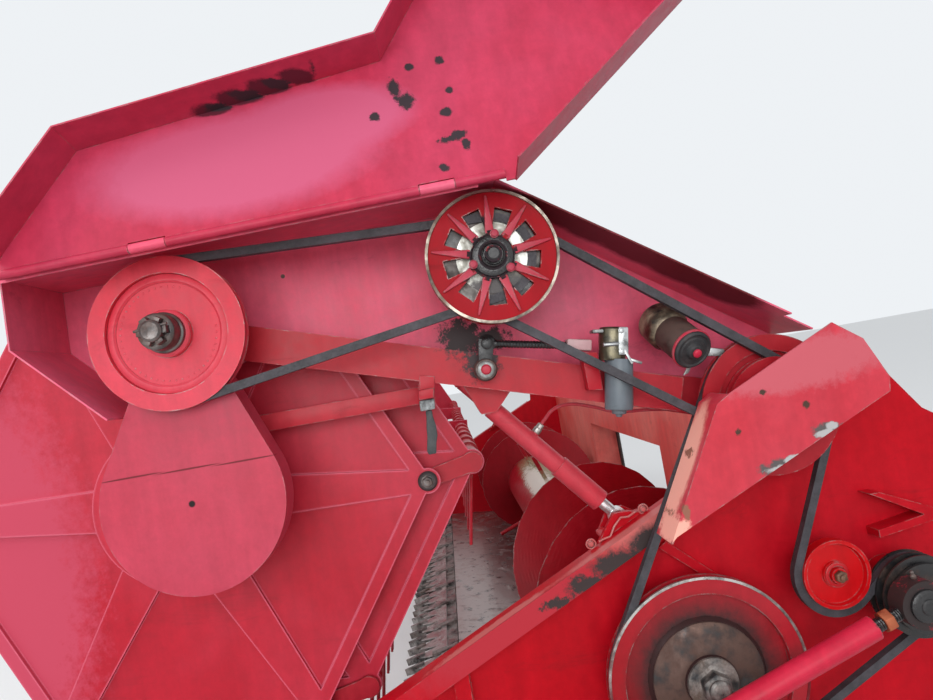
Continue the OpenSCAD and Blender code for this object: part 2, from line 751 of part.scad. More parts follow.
module input_drive() {
    x = belt_c_x;
    color("dimgray") {
        turned(input_c, grooved(input_r, x, flange_over));
        turned(input_c, grooved(input_r, belt_b_x, flange_over));
        turned(input_c, [[12, x - 6], [input_r - 12, x - 6], [input_r - 12, belt_b_x + 6], [12, belt_b_x + 6]]);
        cross_bar(input_c, shaft_r, stub_x, belt_b_x);
        cross_bar(input_c, input_shaft_r, stub_x - 60, crank_disc_x);
        cross_bar(input_c, crank_disc_r, crank_disc_x - 8, crank_disc_x);
        cross_bar(input_c, 40, wall_out + 22 + fit, x - 4);
    }
}

// Auger

module auger_tube() {
    color("firebrick") {
        difference() {
            cross_bar(axle, tube_r, -side_x + 24, side_x - 24, 96);
            cross_bar(axle, tube_r - 6, -side_x + 36, side_x - 36, 96);
            for (a = [0 : 120 : 240]) cross_bar(axle + 85 * unit(a), 24, -side_x, side_x);
        }
        cross_bar(axle, auger_shaft_r, -wall_out - 30, belt_c_x + 30);
        for (i = [0 : finger_rows - 1], j = [0 : 1]) {
            x = -420 + 840 * (i + 0.5 * j + 0.25) / finger_rows;
            translate([x, 0, auger_z]) rotate([90 * i + 180 * j + 20, 0, 0]) {
                cylinder(h = flight_r - 8, r = 8, $fn = 16);
                cylinder(h = tube_r + 8, r = 22, $fn = 24);
            }
        }
    }
}

module flight() {
    run = side_x - 24 - 460;
    rotate([0, 90, 0]) linear_extrude(height = run, twist = -360 * run / flight_pitch, slices = 56)
        translate([tube_r + fit, -flight_t / 2]) square([flight_r - tube_r - fit, flight_t]);
}

module auger_flights() {
    color("crimson") translate([0, 0, auger_z]) {
        translate([460, 0, 0]) flight();
        mirror([1, 0, 0]) translate([460, 0, 0]) flight();
    }
}

// Reel

module hexagon_ribs(c, x0, x1) {
    for (i = [0 : bar_count - 1]) slab(x0, x1) translate(c) rotate(bar_angle + 60 * i)
        polygon([[120, -44], [bar_circle_r - 20, -24], [bar_circle_r - 20, 24], [120, 44]]);
}

module hexagon_edge(c, x0, x1) {
    slab(x0, x1) translate(c) rotate(bar_angle) difference() {
        circle(r = bar_circle_r + 9, $fn = 6);
        circle(r = bar_circle_r - 22, $fn = 6);
    }
}

module hexagon_plate(c, x, hole, face) {
    difference() {
        union() {
            slab(x, x + 4) translate(c) rotate(bar_angle) circle(r = bar_circle_r + 9, $fn = 6);
            hexagon_ribs(c, face > 0 ? x + 4 : x - rib_h, face > 0 ? x + 4 + rib_h : x);
            hexagon_edge(c, face > 0 ? x + 4 : x - rib_h, face > 0 ? x + 4 + rib_h : x);
            for (i = [0 : bar_count - 1]) cross_bar(bar_place(c, i), 26, face > 0 ? x : x - rib_h, face > 0 ? x + 4 + rib_h : x + 4);
        }
        cross_bar(c, hole, x - 40, x + 40, 96);
    }
}

function bar_place(c, i) = c + bar_circle_r * unit(bar_angle + 60 * i);

module reel_core() {
    color("crimson") {
        difference() {
            union() {
                hexagon_plate(reel_c, inner_x - 4, 20, 1);
                hexagon_plate(reel_c, -inner_x, 20, -1);
                for (x = [-466, 466]) for (i = [0 : bar_count - 1]) slab(x - 3, x + 3) translate(reel_c) rotate(bar_angle + 60 * i)
                    polygon([[40, -30], [bar_circle_r + 24, -26], [bar_circle_r + 24, 26], [40, 30]]);
            }
            for (i = [0 : bar_count - 1]) {
                cross_bar(bar_place(reel_c, i), bar_r + fit, -side_x, side_x);
                cross_bar(reel_c + 38 * unit(60 * i), 8, -side_x, side_x);
            }
        }
        difference() {
            cross_bar(reel_c, reel_tube_r, -inner_x + 2, inner_x - 2, 64);
            cross_bar(reel_c, reel_tube_r - 4, -inner_x + 8, inner_x - 8, 64);
            for (i = [0 : bar_count - 1]) cross_bar(reel_c + 38 * unit(60 * i), 8, -side_x, side_x);
        }
    }
    color("dimgray") {
        cross_bar(reel_c, reel_shaft_r, inner_x - 10, case_x0 + 26);
        cross_bar(reel_c, reel_shaft_r, -arm_x1 - 7, -inner_x + 10);
    }
}

module control_plate() {
    color("crimson") hexagon_plate(ecc_c, control_x, guide_r + fit, 1);
    color("dimgray") for (i = [0 : bar_count - 1]) cross_bar(bar_place(ecc_c, i), 9, link_x, control_x + 2);
}

module tine(x) {
    translate([x, 0, 0]) {
        rotate([0, 90, 0]) cylinder(h = 26, r = bar_r + 6, center = true, $fn = 24);
        for (s = [-9, 9]) translate([s, 0, 0]) rotate([180 - tine_tilt, 0, 0]) cylinder(h = tine_l, r = tine_r, $fn = 8);
    }
}

module tine_bar(i) {
    place = bar_place(reel_c, i);
    color("firebrick") {
        cross_bar(place, bar_r, -inner_x - 8, link_x + 8);
        difference() {
            slab(link_x, link_x + 8) {
                translate(place) circle(r = 22, $fn = 48);
                translate(bar_place(ecc_c, i)) circle(r = 20, $fn = 48);
                polygon([place + [0, 20], place + [0, -20], bar_place(ecc_c, i) + [0, -18], bar_place(ecc_c, i) + [0, 18]]);
            }
            cross_bar(bar_place(ecc_c, i), 9 + fit, link_x - 10, link_x + 20);
        }
    }
    color("dimgray") translate([0, place[0], place[1]]) for (x = [-tine_x : tine_pitch : tine_x + 1]) tine(x);
}

module tine_bar_0() {
    tine_bar(0);
}

module tine_bar_1() {
    tine_bar(1);
}

module tine_bar_2() {
    tine_bar(2);
}

module tine_bar_3() {
    tine_bar(3);
}

module tine_bar_4() {
    tine_bar(4);
}

module tine_bar_5() {
    tine_bar(5);
}

// Reel arms

// Side-view place on the arm: along it from the pivot, and above its middle
function on_arm(along, above) = pivot_c + along * unit(arm_dir) + above * unit(arm_dir - 90);

module arm_box(front) {
    translate([0, pivot_c[0], pivot_c[1]]) rotate([arm_dir, 0, 0]) translate([arm_x0, 150, -arm_h / 2])
        cube([arm_w, arm_l + front - 150, arm_h]);
    plate([on_arm(0, -40), on_arm(0, 40), on_arm(320, 32), on_arm(320, -32)], arm_x0 - 12, arm_x0 + 1);
    cross_bar(pivot_c, 58, arm_x0 - 12, arm_x0 + 1);
}

module ram_ears() {
    top = [-ram_top_front, ram_top_z];
    ear = [top + [-46, 62], top + [60, 30], top + [16, -16], top + [-14, -16]];
    plate(ear, arm_x0 - 6, arm_x0 + 1);
    plate(ear, ram_x - 27, ram_x - 21);
    plate([top + [-46, 62], top + [60, 30], top + [58, 24], top + [-46, 56]], ram_x - 27, arm_x1);
    cross_bar(top, 8, ram_x - 30, arm_x0);
}

module arm_left() {
    color("firebrick") difference() {
        union() {
            arm_box(-40);
            ram_ears();
        }
        cross_bar(pivot_c, pivot_r + fit, arm_x0 - 20, arm_x0 + 20);
    }
}

module arm_right() {
    color("firebrick") other_side() difference() {
        union() {
            arm_box(60);
            ram_ears();
            slab(arm_x1, arm_x1 + 12) {
                translate(reel_c) circle(r = 70, $fn = 64);
                translate(upper_c) circle(r = 50, $fn = 64);
                polygon([reel_c + [-70, 0], reel_c + [70, 0], upper_c + [50, 0], upper_c + [-50, 0]]);
            }
        }
        cross_bar(pivot_c, pivot_r + fit, arm_x0 - 20, arm_x0 + 20);
        cross_bar(reel_c, reel_shaft_r + fit, arm_x0 - 20, arm_x1 + 8);
    }
}

// Way from a chain wheel's centre to where its side of the case leaves its arc
function case_way(s) = unit(atan2(upper_c[1] - reel_c[1], upper_c[0] - reel_c[0])
    + s * acos((case_r - case_top_r) / norm(upper_c - reel_c)));

module chain_case() {
    low = case_r - 0.2;
    high = case_top_r - 0.2;
    color("crimson") difference() {
        union() {
            cross_bar(reel_c, case_r, case_x0, case_x1, 96);
            cross_bar(upper_c, case_top_r, case_x0, case_x1, 96);
            plate([reel_c + low * case_way(1), upper_c + high * case_way(1), upper_c + high * case_way(-1),
                reel_c + low * case_way(-1)], case_x0, case_x1);
        }
        cross_bar(reel_c, reel_shaft_r + fit, case_x0 - 10, case_x0 + 26 + fit);
        cross_bar(upper_c, 22 + fit, case_x1 - 40 - fit, case_x1 + 10);
    }
}

module control_ring() {
    face = control_x + 4 + rib_h;
    color("firebrick") difference() {
        union() {
            cross_bar(ecc_c, guide_r, control_x - 4, face, 96);
            cross_bar(ecc_c, 56, face - 1, case_x0, 64);
            cross_bar(ecc_c, guide_r + 14, face + 2, face + 6, 96);
            cross_bar(ecc_c, 80, face - 1, face + 4, 96);
        }
        cross_bar(reel_c, reel_shaft_r + 5, control_x - 20, case_x0 - 20);
    }
}

module belt_tray() {
    t = cover_t;
    x0 = tray_x;
    cut = tray_rear - 60 * way(tray_apex, tray_rear);
    lip = tray_front + 830 * way(tray_front, tray_apex);
    color("crimson") {
        plate([tray_front, tray_apex, tray_rear, tray_rear + [-60, -34], on_arm(30, 30), on_arm(60, 5), on_arm(960, 5),
            tray_low, tray_low_front], x0 - t, x0);
        strip([tray_rear, tray_apex], t, x0 - t, side_x + 112);
        strip([cut, tray_apex], t, side_x + 110, tray_edge);
        strip([tray_apex, tray_front, tray_low_front, tray_low - 24 * way(tray_low_front, tray_low)], t, x0 - t, tray_edge);
        plate([tray_front, lip, lip - [0, t], tray_front - [0, t]], tray_edge - 1, hinge_x - 11);
        plate([tray_front, lip, lip - [0, 28], tray_front - [0, 28]], hinge_x - 11 - t, hinge_x - 11);
    }
    color("firebrick") {
        for (a = [420, 860]) cross_bar(on_arm(a, 18), 12, x0 - 1, arm_x0);
        difference() {
            cross_bar(var_c, 38, x0 - 1, case_x0);
            cross_bar(var_c, 20 + fit, x0 + 10 - fit, case_x1);
        }
        hinge_frame() for (s = knuckles) {
            translate([0, s - 29, 0]) rotate([-90, 0, 0]) cylinder(h = 58, r = hinge_r, $fn = 48);
            translate([0, s - 60, 0]) rotate([-90, 0, 0]) cylinder(h = 120, r = hinge_r / 2, $fn = 32);
            translate([-12, s - 29, -4]) cube([12, 58, 8]);
        }
    }
}

// Frame on the cover's hinge line: second axis along the hinge to the rear, third up
module hinge_frame() {
    translate([hinge_x, hinge_c[0], hinge_c[1]]) rotate([hinge_rise, 0, 0]) children();
}

module belt_cover() {
    t = cover_t;
    foot = hinge_r + 1.5;
    color("crimson") hinge_frame() rotate([0, -cover_lean, 0]) {
        plate(concat(cover_line, [[0, -14], [0, foot], [-hinge_l, foot]]), 0, t);
        strip(cover_line, t, 0, cover_d);
        difference() {
            union() {
                translate([0, -hinge_l, 0]) rotate([-90, 0, 0]) cylinder(h = hinge_l, r = hinge_r, $fn = 48);
                translate([0, -hinge_l, 0]) cube([t, hinge_l, foot + 1]);
            }
            for (s = knuckles) {
                translate([-30, s - 30, -30]) cube([60, 60, 30 + foot]);
                translate([0, s - 62, 0]) rotate([-90, 0, 0]) cylinder(h = 124, r = hinge_r / 2 + fit, $fn = 32);
            }
        }
    }
}

module speed_adjuster() {
    x = arm_x1 + 28;
    box = [[-150, 968], [-62, 988]];
    color("dimgray") {
        cross_bar(rocker_c, 16, arm_x1, x + 24);
        plate([rocker_c + [-16, 0], rocker_c + [16, 0], joint_c + [14, 7], joint_c + [-12, 7]], x + 6, x + 16);
        translate([x, joint_c[0], joint_c[1]]) rotate([-102, 0, 0]) cylinder(h = 190, r = 6, $fn = 24);
        block([x - 14, box[0][0], box[0][1]], [x + 14, box[1][0], box[1][1]]);
        plate([[-119, 962], [-66, 957], [-72, 886], [-118, 890]], arm_x1, x - 4);
        at_motor() cylinder(h = 56, r = motor_r - 1, $fn = 48);
        at_motor() translate([6, -2, 6]) cube([22, 22, 50]);
    }
    color("gray") at_motor() rotate([180, 0, 0]) cylinder(h = motor_l, r = motor_r, $fn = 48);
}

// Frame at the motor's upper end, third axis up along the motor
module at_motor() {
    translate([arm_x1 + 28, motor_top[0], motor_top[1]]) rotate([-10, 0, 0]) children();
}

module ram_barrel() {
    color("firebrick") difference() {
        along_ram() {
            translate([0, 0, 12]) cylinder(h = ram_l - 66, r = ram_r, $fn = 48);
            translate([0, 0, ram_l * 0.55]) cylinder(h = ram_l * 0.45 - 46, r = ram_r + 3, $fn = 48);
            rotate([0, 90, 0]) cylinder(h = 34, r = 19, center = true, $fn = 48);
        }
        cross_bar(ram_top, 8 + fit, ram_x - 40, ram_x + 40);
        along_ram() translate([0, 0, 40]) cylinder(h = ram_l, r = ram_rod_r + fit, $fn = 48);
    }
}

// Frame at the cylinder's upper pin, third axis towards the lower pin
module along_ram() {
    translate([ram_x, ram_top[0], ram_top[1]]) rotate([ram_dir - 90, 0, 0]) children();
}

module ram_rod() {
    color("silver") difference() {
        union() {
            along_ram() translate([0, 0, 44]) cylinder(h = ram_l - 52, r = ram_rod_r, $fn = 48);
            cross_bar(ram_low, ram_pin_r + eye_play + 5, ram_x - 13, ram_x + 13);
        }
        cross_bar(ram_low, ram_pin_r + eye_play, ram_x - 40, ram_x + 40);
    }
}

module knife_rod() {
    // Lever pin on the cutter bar's slope, then seen from the side
    pin_y = lever_y + knife_rest;
    pin_z = 44;
    front = front_edge + [pin_y * cos(bar_slope) - pin_z * sin(bar_slope), pin_y * sin(bar_slope) + pin_z * cos(bar_slope)];
    l = norm(crank_c - front);
    a = atan2(front[1] - crank_c[1], front[0] - crank_c[0]);
    x = crank_x;
    color("crimson") difference() {
        union() {
            translate([x, crank_c[0], crank_c[1]]) rotate([a - 90, 0, 0]) {
                translate([0, 0, 90]) cylinder(h = l - 150, r = 21, $fn = 64);
                translate([0, 0, 20]) cylinder(h = l - 34, r = 11, $fn = 48);
            }
            cross_bar(crank_c, 42, x - 20, x + 22, 64);
            tilted() translate([x, pin_y, pin_z - 12]) cylinder(h = 24, r = 20, $fn = 48);
        }
        cross_bar(crank_c, crank_pin_r + fit, x - 40, x + 40);
        tilted() translate([x, pin_y, pin_z - 30]) cylinder(h = 60, r = 10, $fn = 48);
    }
    color("dimgray") cross_bar(crank_c, crank_pin_r, x - 22, x + 26);
}

module ram_barrel_left() {
    ram_barrel();
}

module ram_barrel_right() {
    other_side() ram_barrel();
}

module ram_rod_left() {
    ram_rod();
}

module ram_rod_right() {
    other_side() ram_rod();
}

floor_trough();
rear_wall();
rear_frame();
throat_seal();
side_wall_left();
side_wall_right();
divider_left();
divider_right();
cutter_fingers();
skids();
belt_shield();
belt_main();
panel_brackets();
arm_left();
arm_right();
belt_tray();
chain_case();
control_ring();
belt_reel();
belt_variator();
speed_adjuster();
reel_core();
control_plate();
tine_bar_0();
tine_bar_1();
tine_bar_2();
tine_bar_3();
tine_bar_4();
tine_bar_5();
reel_pulley();
variator();
countershaft();
idler_pulley();
input_drive();
auger_tube();
auger_flights();
auger_pulley();
knife();
knife_lever();
knife_rod();
ram_barrel_left();
ram_barrel_right();
ram_rod_left();
ram_rod_right();
belt_cover();
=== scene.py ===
import math

import bpy
from mathutils import Matrix, Vector


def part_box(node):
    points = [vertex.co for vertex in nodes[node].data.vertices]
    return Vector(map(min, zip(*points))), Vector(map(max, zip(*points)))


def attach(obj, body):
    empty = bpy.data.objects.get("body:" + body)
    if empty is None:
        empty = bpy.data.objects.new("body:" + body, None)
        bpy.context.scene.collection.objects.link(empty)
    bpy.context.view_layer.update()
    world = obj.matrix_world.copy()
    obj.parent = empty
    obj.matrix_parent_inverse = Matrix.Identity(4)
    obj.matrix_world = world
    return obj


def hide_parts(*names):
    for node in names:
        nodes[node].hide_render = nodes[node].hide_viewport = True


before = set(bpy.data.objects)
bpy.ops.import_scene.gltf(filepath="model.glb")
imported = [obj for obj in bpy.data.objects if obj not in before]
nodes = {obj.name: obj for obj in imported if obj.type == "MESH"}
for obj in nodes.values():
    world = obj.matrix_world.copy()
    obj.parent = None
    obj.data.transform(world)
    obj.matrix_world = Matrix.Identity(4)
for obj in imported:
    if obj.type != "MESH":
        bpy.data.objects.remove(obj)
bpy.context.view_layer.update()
scene = bpy.context.scene

# camera and studio
# The view from beside the left end of the header, a step back from the drives and at chest height,
# turned to look straight along the reel. The lens is that of a pocket camera held at a slight slant.
eye = Vector((2.884, -0.379, 0.965))
picture_wide, picture_high, lens_in_pixels = 933, 700, 700
reel_way_px = (443.5, 375.0)
far_point = Vector((reel_way_px[0] - picture_wide / 2, picture_high / 2 - reel_way_px[1], -lens_in_pixels))
far_point.normalize()
slant = math.radians(10.0)
across = -far_point
upright = Vector((-math.sin(slant), math.cos(slant), 0.0))
upright = (upright - upright.dot(across) * across).normalized()
camera_data = bpy.data.cameras.new("camera")
film_wide = 36
camera_data.sensor_width = film_wide
camera_data.lens = film_wide * lens_in_pixels / picture_wide
camera_data.clip_start = 0.05
camera = bpy.data.objects.new("camera", camera_data)
scene.collection.objects.link(camera)
camera.matrix_world = Matrix.Translation(eye) @ Matrix((across, upright.cross(across), upright)).to_4x4()
scene.camera = camera
scene.view_settings.view_transform = "Standard"


def only(piece):
    if bpy.context.object and bpy.context.object.mode != "OBJECT":
        bpy.ops.object.mode_set(mode="OBJECT")
    bpy.ops.object.select_all(action="DESELECT")
    piece.select_set(True)
    bpy.context.view_layer.objects.active = piece


def added(tree, kind, inputs, operation=None, data_type=None, group=None):
    # A node, with a value or a link from another node for each of the inputs that are named
    made = tree.nodes.new(kind)
    if operation:
        made.operation = operation
    if data_type:
        made.data_type = data_type
    if group:
        made.node_tree = group
    for label, value in inputs.items():
        if isinstance(value, bpy.types.NodeSocket):
            tree.links.new(value, made.inputs[label])
        else:
            made.inputs[label].default_value = value
    return made


def sum_of(tree, kind, a, b):
    return added(tree, "ShaderNodeMath", {0: a, 1: b}, operation=kind).outputs[0]


def spread(tree, value, low, high, to_low=0.0, to_high=1.0):
    span = {"Value": value, "From Min": low, "From Max": high, "To Min": to_low, "To Max": to_high}
    return added(tree, "ShaderNodeMapRange", span).outputs["Result"]


def opaque(colour):
    # A colour of three numbers gets a fourth, which makes it solid
    return (*colour, 1) if isinstance(colour, tuple) else colour


def mixed(tree, share, a, b):
    return added(tree, "ShaderNodeMix", {0: share, 6: opaque(a), 7: opaque(b)}, data_type="RGBA").outputs[2]


def looked_at(tree):
    # Rays that show the backdrop: the camera's own, and those that metal and glass pass on
    rays = tree.nodes.new("ShaderNodeLightPath")
    seen = rays.outputs["Is Camera Ray"]
    for kind in ("Is Glossy Ray", "Is Transmission Ray"):
        seen = sum_of(tree, "MAXIMUM", seen, rays.outputs[kind])
    return seen


bpy.ops.object.select_all(action="DESELECT")
bpy.ops.mesh.primitive_plane_add(size=60, location=(0, 0, -0.001))
floor = bpy.context.object
floor.name = "studio_floor"
floor_paint = bpy.data.materials.new("studio_floor")
floor_paint.use_nodes = True
tree = floor_paint.node_tree
shader = tree.nodes["Principled BSDF"]
shader.inputs["Roughness"].default_value = 0.9
dull_ground, pale_ground = (0.34, 0.33, 0.31), (0.85, 0.85, 0.84)
tree.links.new(mixed(tree, looked_at(tree), dull_ground, pale_ground), shader.inputs["Base Color"])
floor.data.materials.append(floor_paint)

world = bpy.data.worlds.new("studio")
world.use_nodes = True
scene.world = world
tree = world.node_tree
tree.nodes.clear()
heading = tree.nodes.new("ShaderNodeTexCoord").outputs["Generated"]
upward = added(tree, "ShaderNodeSeparateXYZ", {0: heading}).outputs["Z"]
skylight = spread(tree, upward, -0.15, 0.45, 0.20, 0.80)
lit = added(tree, "ShaderNodeBackground", {"Color": (0.93, 0.96, 1.0, 1), "Strength": skylight})
shown = added(tree, "ShaderNodeBackground", {"Color": (0.90, 0.93, 0.96, 1), "Strength": 0.95})
choose = added(tree, "ShaderNodeMixShader", {0: looked_at(tree), 1: lit.outputs[0], 2: shown.outputs[0]})
added(tree, "ShaderNodeOutputWorld", {"Surface": choose.outputs[0]})


def lamp(name, place, aim, wide, high, watts):
    light = bpy.data.lights.new(name, "AREA")
    light.shape = "RECTANGLE"
    light.size, light.size_y, light.energy = wide, high, watts
    piece = bpy.data.objects.new(name, light)
    scene.collection.objects.link(piece)
    piece.location = place
    piece.rotation_euler = (Vector(aim) - Vector(place)).to_track_quat("-Z", "Y").to_euler()


lamp("key_window", (3.0, -4.4, 4.8), (1.5, -0.2, 0.8), 3.0, 2.4, 125)
lamp("front_window", (6.0, -0.9, 1.7), (1.5, -0.2, 0.95), 4.0, 2.2, 128)
lamp("fill_window", (4.6, 3.2, 1.8), (1.5, 0.1, 0.7), 2.4, 2.4, 16)


# paint of the sheet-metal parts
# Every panel is folded steel sheet, sprayed red. Years outdoors have bleached the coat towards pink
# where the sun reaches it, and rubbed it through to dark steel along the folds and edges.
def group_of(name, takes, gives):
    made = bpy.data.node_groups.new(name, "ShaderNodeTree")
    kinds = {"c": "NodeSocketColor", "f": "NodeSocketFloat", "v": "NodeSocketVector"}
    for labels, way in ((takes, "INPUT"), (gives, "OUTPUT")):
        for label, kind in labels:
            made.interface.new_socket(name=label, in_out=way, socket_type=kinds[kind])
    coords = made.nodes.new("ShaderNodeTexCoord").outputs["Object"]
    return made, made.nodes.new("NodeGroupInput").outputs, made.nodes.new("NodeGroupOutput").inputs, coords


def given(tree, gives, values):
    for label, value in values.items():
        tree.links.new(value, gives[label])


def noise(tree, coords, scale, detail=3.0, rough=0.55, stretch=None, warp=0.0):
    if stretch:
        coords = added(tree, "ShaderNodeMapping", {"Vector": coords, "Scale": stretch}).outputs["Vector"]
    settings = {"Vector": coords, "Scale": scale, "Detail": detail, "Roughness": rough, "Distortion": warp}
    return added(tree, "ShaderNodeTexNoise", settings).outputs["Fac"]


def edge_wear_and_highlight(tree, width):
    # Folds and rims, found from how a rounded edge's normal leaves the face's own
    rounded = added(tree, "ShaderNodeBevel", {"Radius": width})
    rounded.samples = 4
    face = tree.nodes.new("ShaderNodeNewGeometry")
    agree = added(tree, "ShaderNodeVectorMath", {0: rounded.outputs["Normal"], 1: face.outputs["Normal"]},
                  operation="DOT_PRODUCT")
    return spread(tree, agree.outputs["Value"], 0.995, 0.86)


weathered, takes, gives, coords = group_of(
    "weathered_paint",
    [("Paint", "c"), ("Bleached", "c"), ("Bleach", "f"), ("Rubbing", "f"), ("Grime", "f")],
    [("Color", "c"), ("Roughness", "f"), ("Metallic", "f"), ("Height", "f")],
)
clouds = noise(weathered, coords, 2.3, 4.0, 0.6)
fine = noise(weathered, coords, 46.0, 4.0, 0.7)
runs = noise(weathered, coords, 6.0, 3.0, 0.6, stretch=(5.0, 5.0, 0.55))
scuffs = noise(weathered, coords, 9.0, 6.0, 0.75, stretch=(1.0, 0.4, 1.6), warp=0.6)
bleach = sum_of(weathered, "MULTIPLY", spread(weathered, clouds, 0.36, 0.62), takes["Bleach"])
paint = mixed(weathered, bleach, takes["Paint"], takes["Bleached"])
shade = sum_of(weathered, "MULTIPLY", spread(weathered, fine, 0.3, 0.7, 0.9, 1.06),
               spread(weathered, runs, 0.3, 0.7, 0.9, 1.07))
shaded = added(weathered, "ShaderNodeVectorMath", {0: paint, "Scale": shade}, operation="SCALE")
edges = sum_of(weathered, "MULTIPLY", edge_wear_and_highlight(weathered, 0.0035), spread(weathered, fine, 0.42, 0.62))
edges = sum_of(weathered, "MULTIPLY", edges, takes["Rubbing"])
bared = mixed(weathered, spread(weathered, fine, 0.4, 0.6), (0.10, 0.055, 0.04), (0.26, 0.24, 0.235))
worn = mixed(weathered, edges, shaded.outputs["Vector"], bared)
dirt = sum_of(weathered, "MULTIPLY", spread(weathered, scuffs, 0.60, 0.72), takes["Grime"])
dull = sum_of(weathered, "ADD", spread(weathered, fine, 0.3, 0.7, 0.34, 0.46),
              sum_of(weathered, "MULTIPLY", dirt, 0.25))
given(weathered, gives, {
    "Color": mixed(weathered, dirt, worn, (0.035, 0.012, 0.012)),
    "Roughness": dull,
    "Metallic": sum_of(weathered, "MULTIPLY", edges, 0.55),
    "Height": sum_of(weathered, "ADD", fine, sum_of(weathered, "MULTIPLY", clouds, 1.6)),
})

# A ragged patch round one place on a part. It serves for stains, such as old grease or a bird's dropping
# burnt dark,
# # and also for painted highlights, painted reflections and painted shade
stain_and_light_patch, takes, gives, coords = group_of("stain_and_light_patch", [("Place", "v"), ("Reach", "v"), ("Ragged", "f")],
                                        [("Mask", "f")])
off = added(stain_and_light_patch, "ShaderNodeVectorMath", {0: coords, 1: takes["Place"]}, operation="SUBTRACT")
near = added(stain_and_light_patch, "ShaderNodeVectorMath", {0: off.outputs[0], 1: takes["Reach"]}, operation="DIVIDE")
length = added(stain_and_light_patch, "ShaderNodeVectorMath", {0: near.outputs[0]}, operation="LENGTH")
torn = spread(stain_and_light_patch, noise(stain_and_light_patch, coords, 55.0, 6.0, 0.75), 0.25, 0.75, -0.5, 0.5)
torn = sum_of(stain_and_light_patch, "MULTIPLY", torn, takes["Ragged"])
reach = sum_of(stain_and_light_patch, "ADD", length.outputs["Value"], torn)
given(stain_and_light_patch, gives, {"Mask": spread(stain_and_light_patch, reach, 1.05, 0.72)})


def with_stains_and_light(tree, colour, rough, patches):
    # Lays each patch over the colour and the roughness that come in; a patch has one colour and
    # roughness and a list of places, each with its reach and how ragged its edge is
    for patch_colour, patch_rough, places in patches:
        for place, reach, ragged in places:
            mask = added(tree, "ShaderNodeGroup", {"Place": place, "Reach": reach, "Ragged": ragged},
                         group=stain_and_light_patch).outputs["Mask"]
            colour = mixed(tree, mask, colour, patch_colour)
            rough = added(tree, "ShaderNodeMix", {0: mask, 2: rough, 3: patch_rough}).outputs[0]
    return colour, rough


def coated(name, finish, values, patches, bump, relief, fold_highlight=None):
    # A material that lays one finish, with its stains and patches of painted light and shade, on a plain
    #     # shader; a fold colour, if given, is a painted highlight along its folds
    made = bpy.data.materials.new(name)
    made.use_nodes = True
    tree = made.node_tree
    values = {label: opaque(value) for label, value in values.items()}
    coat = added(tree, "ShaderNodeGroup", values, group=finish).outputs
    colour, rough = with_stains_and_light(tree, coat["Color"], coat["Roughness"], patches)
    # A painted highlight along the folds, where they would catch the light
    if fold_highlight:
        colour = mixed(tree, edge_wear_and_highlight(tree, 0.006), colour, fold_highlight)
    bumps = added(tree, "ShaderNodeBump", {"Strength": bump, "Distance": relief, "Height": coat["Height"]})
    shown = {"Base Color": colour, "Roughness": rough, "Normal": bumps.outputs["Normal"]}
    if "Metallic" in coat:
        shown["Metallic"] = coat["Metallic"]
    given(tree, tree.nodes["Principled BSDF"].inputs, shown)
    return made


def painted(name, paint, bleached, bleach=0.6, rubbing=0.8, grime=0.3, patches=(), sheen=0.25, bump=0.06,
            fold_highlight=None):
    values = {"Paint": paint, "Bleached": bleached, "Bleach": bleach, "Rubbing": rubbing, "Grime": grime}
    made = coated(name, weathered, values, patches, bump, 0.004, fold_highlight)
    made.node_tree.nodes["Principled BSDF"].inputs["Specular IOR Level"].default_value = sheen
    return made


def dress(material, *names):
    for name in names:
        for slot in range(len(nodes[name].data.materials)):
            nodes[name].data.materials[slot] = material


rusted, takes, gives, coords = group_of(
    "rusted_steel",
    [("Steel", "c"), ("Rust", "c"), ("Rusting", "f"), ("Grease", "f")],
    [("Color", "c"), ("Roughness", "f"), ("Metallic", "f"), ("Height", "f")],
)
blotch = noise(rusted, coords, 14.0, 7.0, 0.7, warp=0.4)
grain = noise(rusted, coords, 120.0, 3.0, 0.7)
oily = noise(rusted, coords, 22.0, 4.0, 0.6)
rust = sum_of(rusted, "ADD", blotch, sum_of(rusted, "MULTIPLY", takes["Rusting"], 0.4))
rust = spread(rusted, rust, 0.56, 0.80)
grease = sum_of(rusted, "ADD", oily, sum_of(rusted, "MULTIPLY", takes["Grease"], 0.5))
grease = spread(rusted, grease, 0.62, 0.82)
colour = mixed(rusted, rust, takes["Steel"], takes["Rust"])
rough = sum_of(rusted, "ADD", spread(rusted, grain, 0.3, 0.7, 0.28, 0.42),
               sum_of(rusted, "MULTIPLY", rust, 0.4))
given(rusted, gives, {
    "Color": mixed(rusted, grease, colour, (0.012, 0.011, 0.012)),
    "Roughness": sum_of(rusted, "SUBTRACT", rough, sum_of(rusted, "MULTIPLY", grease, 0.15)),
    "Metallic": sum_of(rusted, "SUBTRACT", 1.0, sum_of(rusted, "MAXIMUM", rust, grease)),
    "Height": sum_of(rusted, "ADD", blotch, sum_of(rusted, "MULTIPLY", grain, 0.5)),
})


def steel(name, bare=(0.52, 0.51, 0.50), rust=(0.12, 0.055, 0.03), rusting=0.3, grease=0.2, patches=(),
          bump=0.12):
    values = {"Steel": bare, "Rust": rust, "Rusting": rusting, "Grease": grease}
    return coated(name, rusted, values, patches, bump, 0.002)


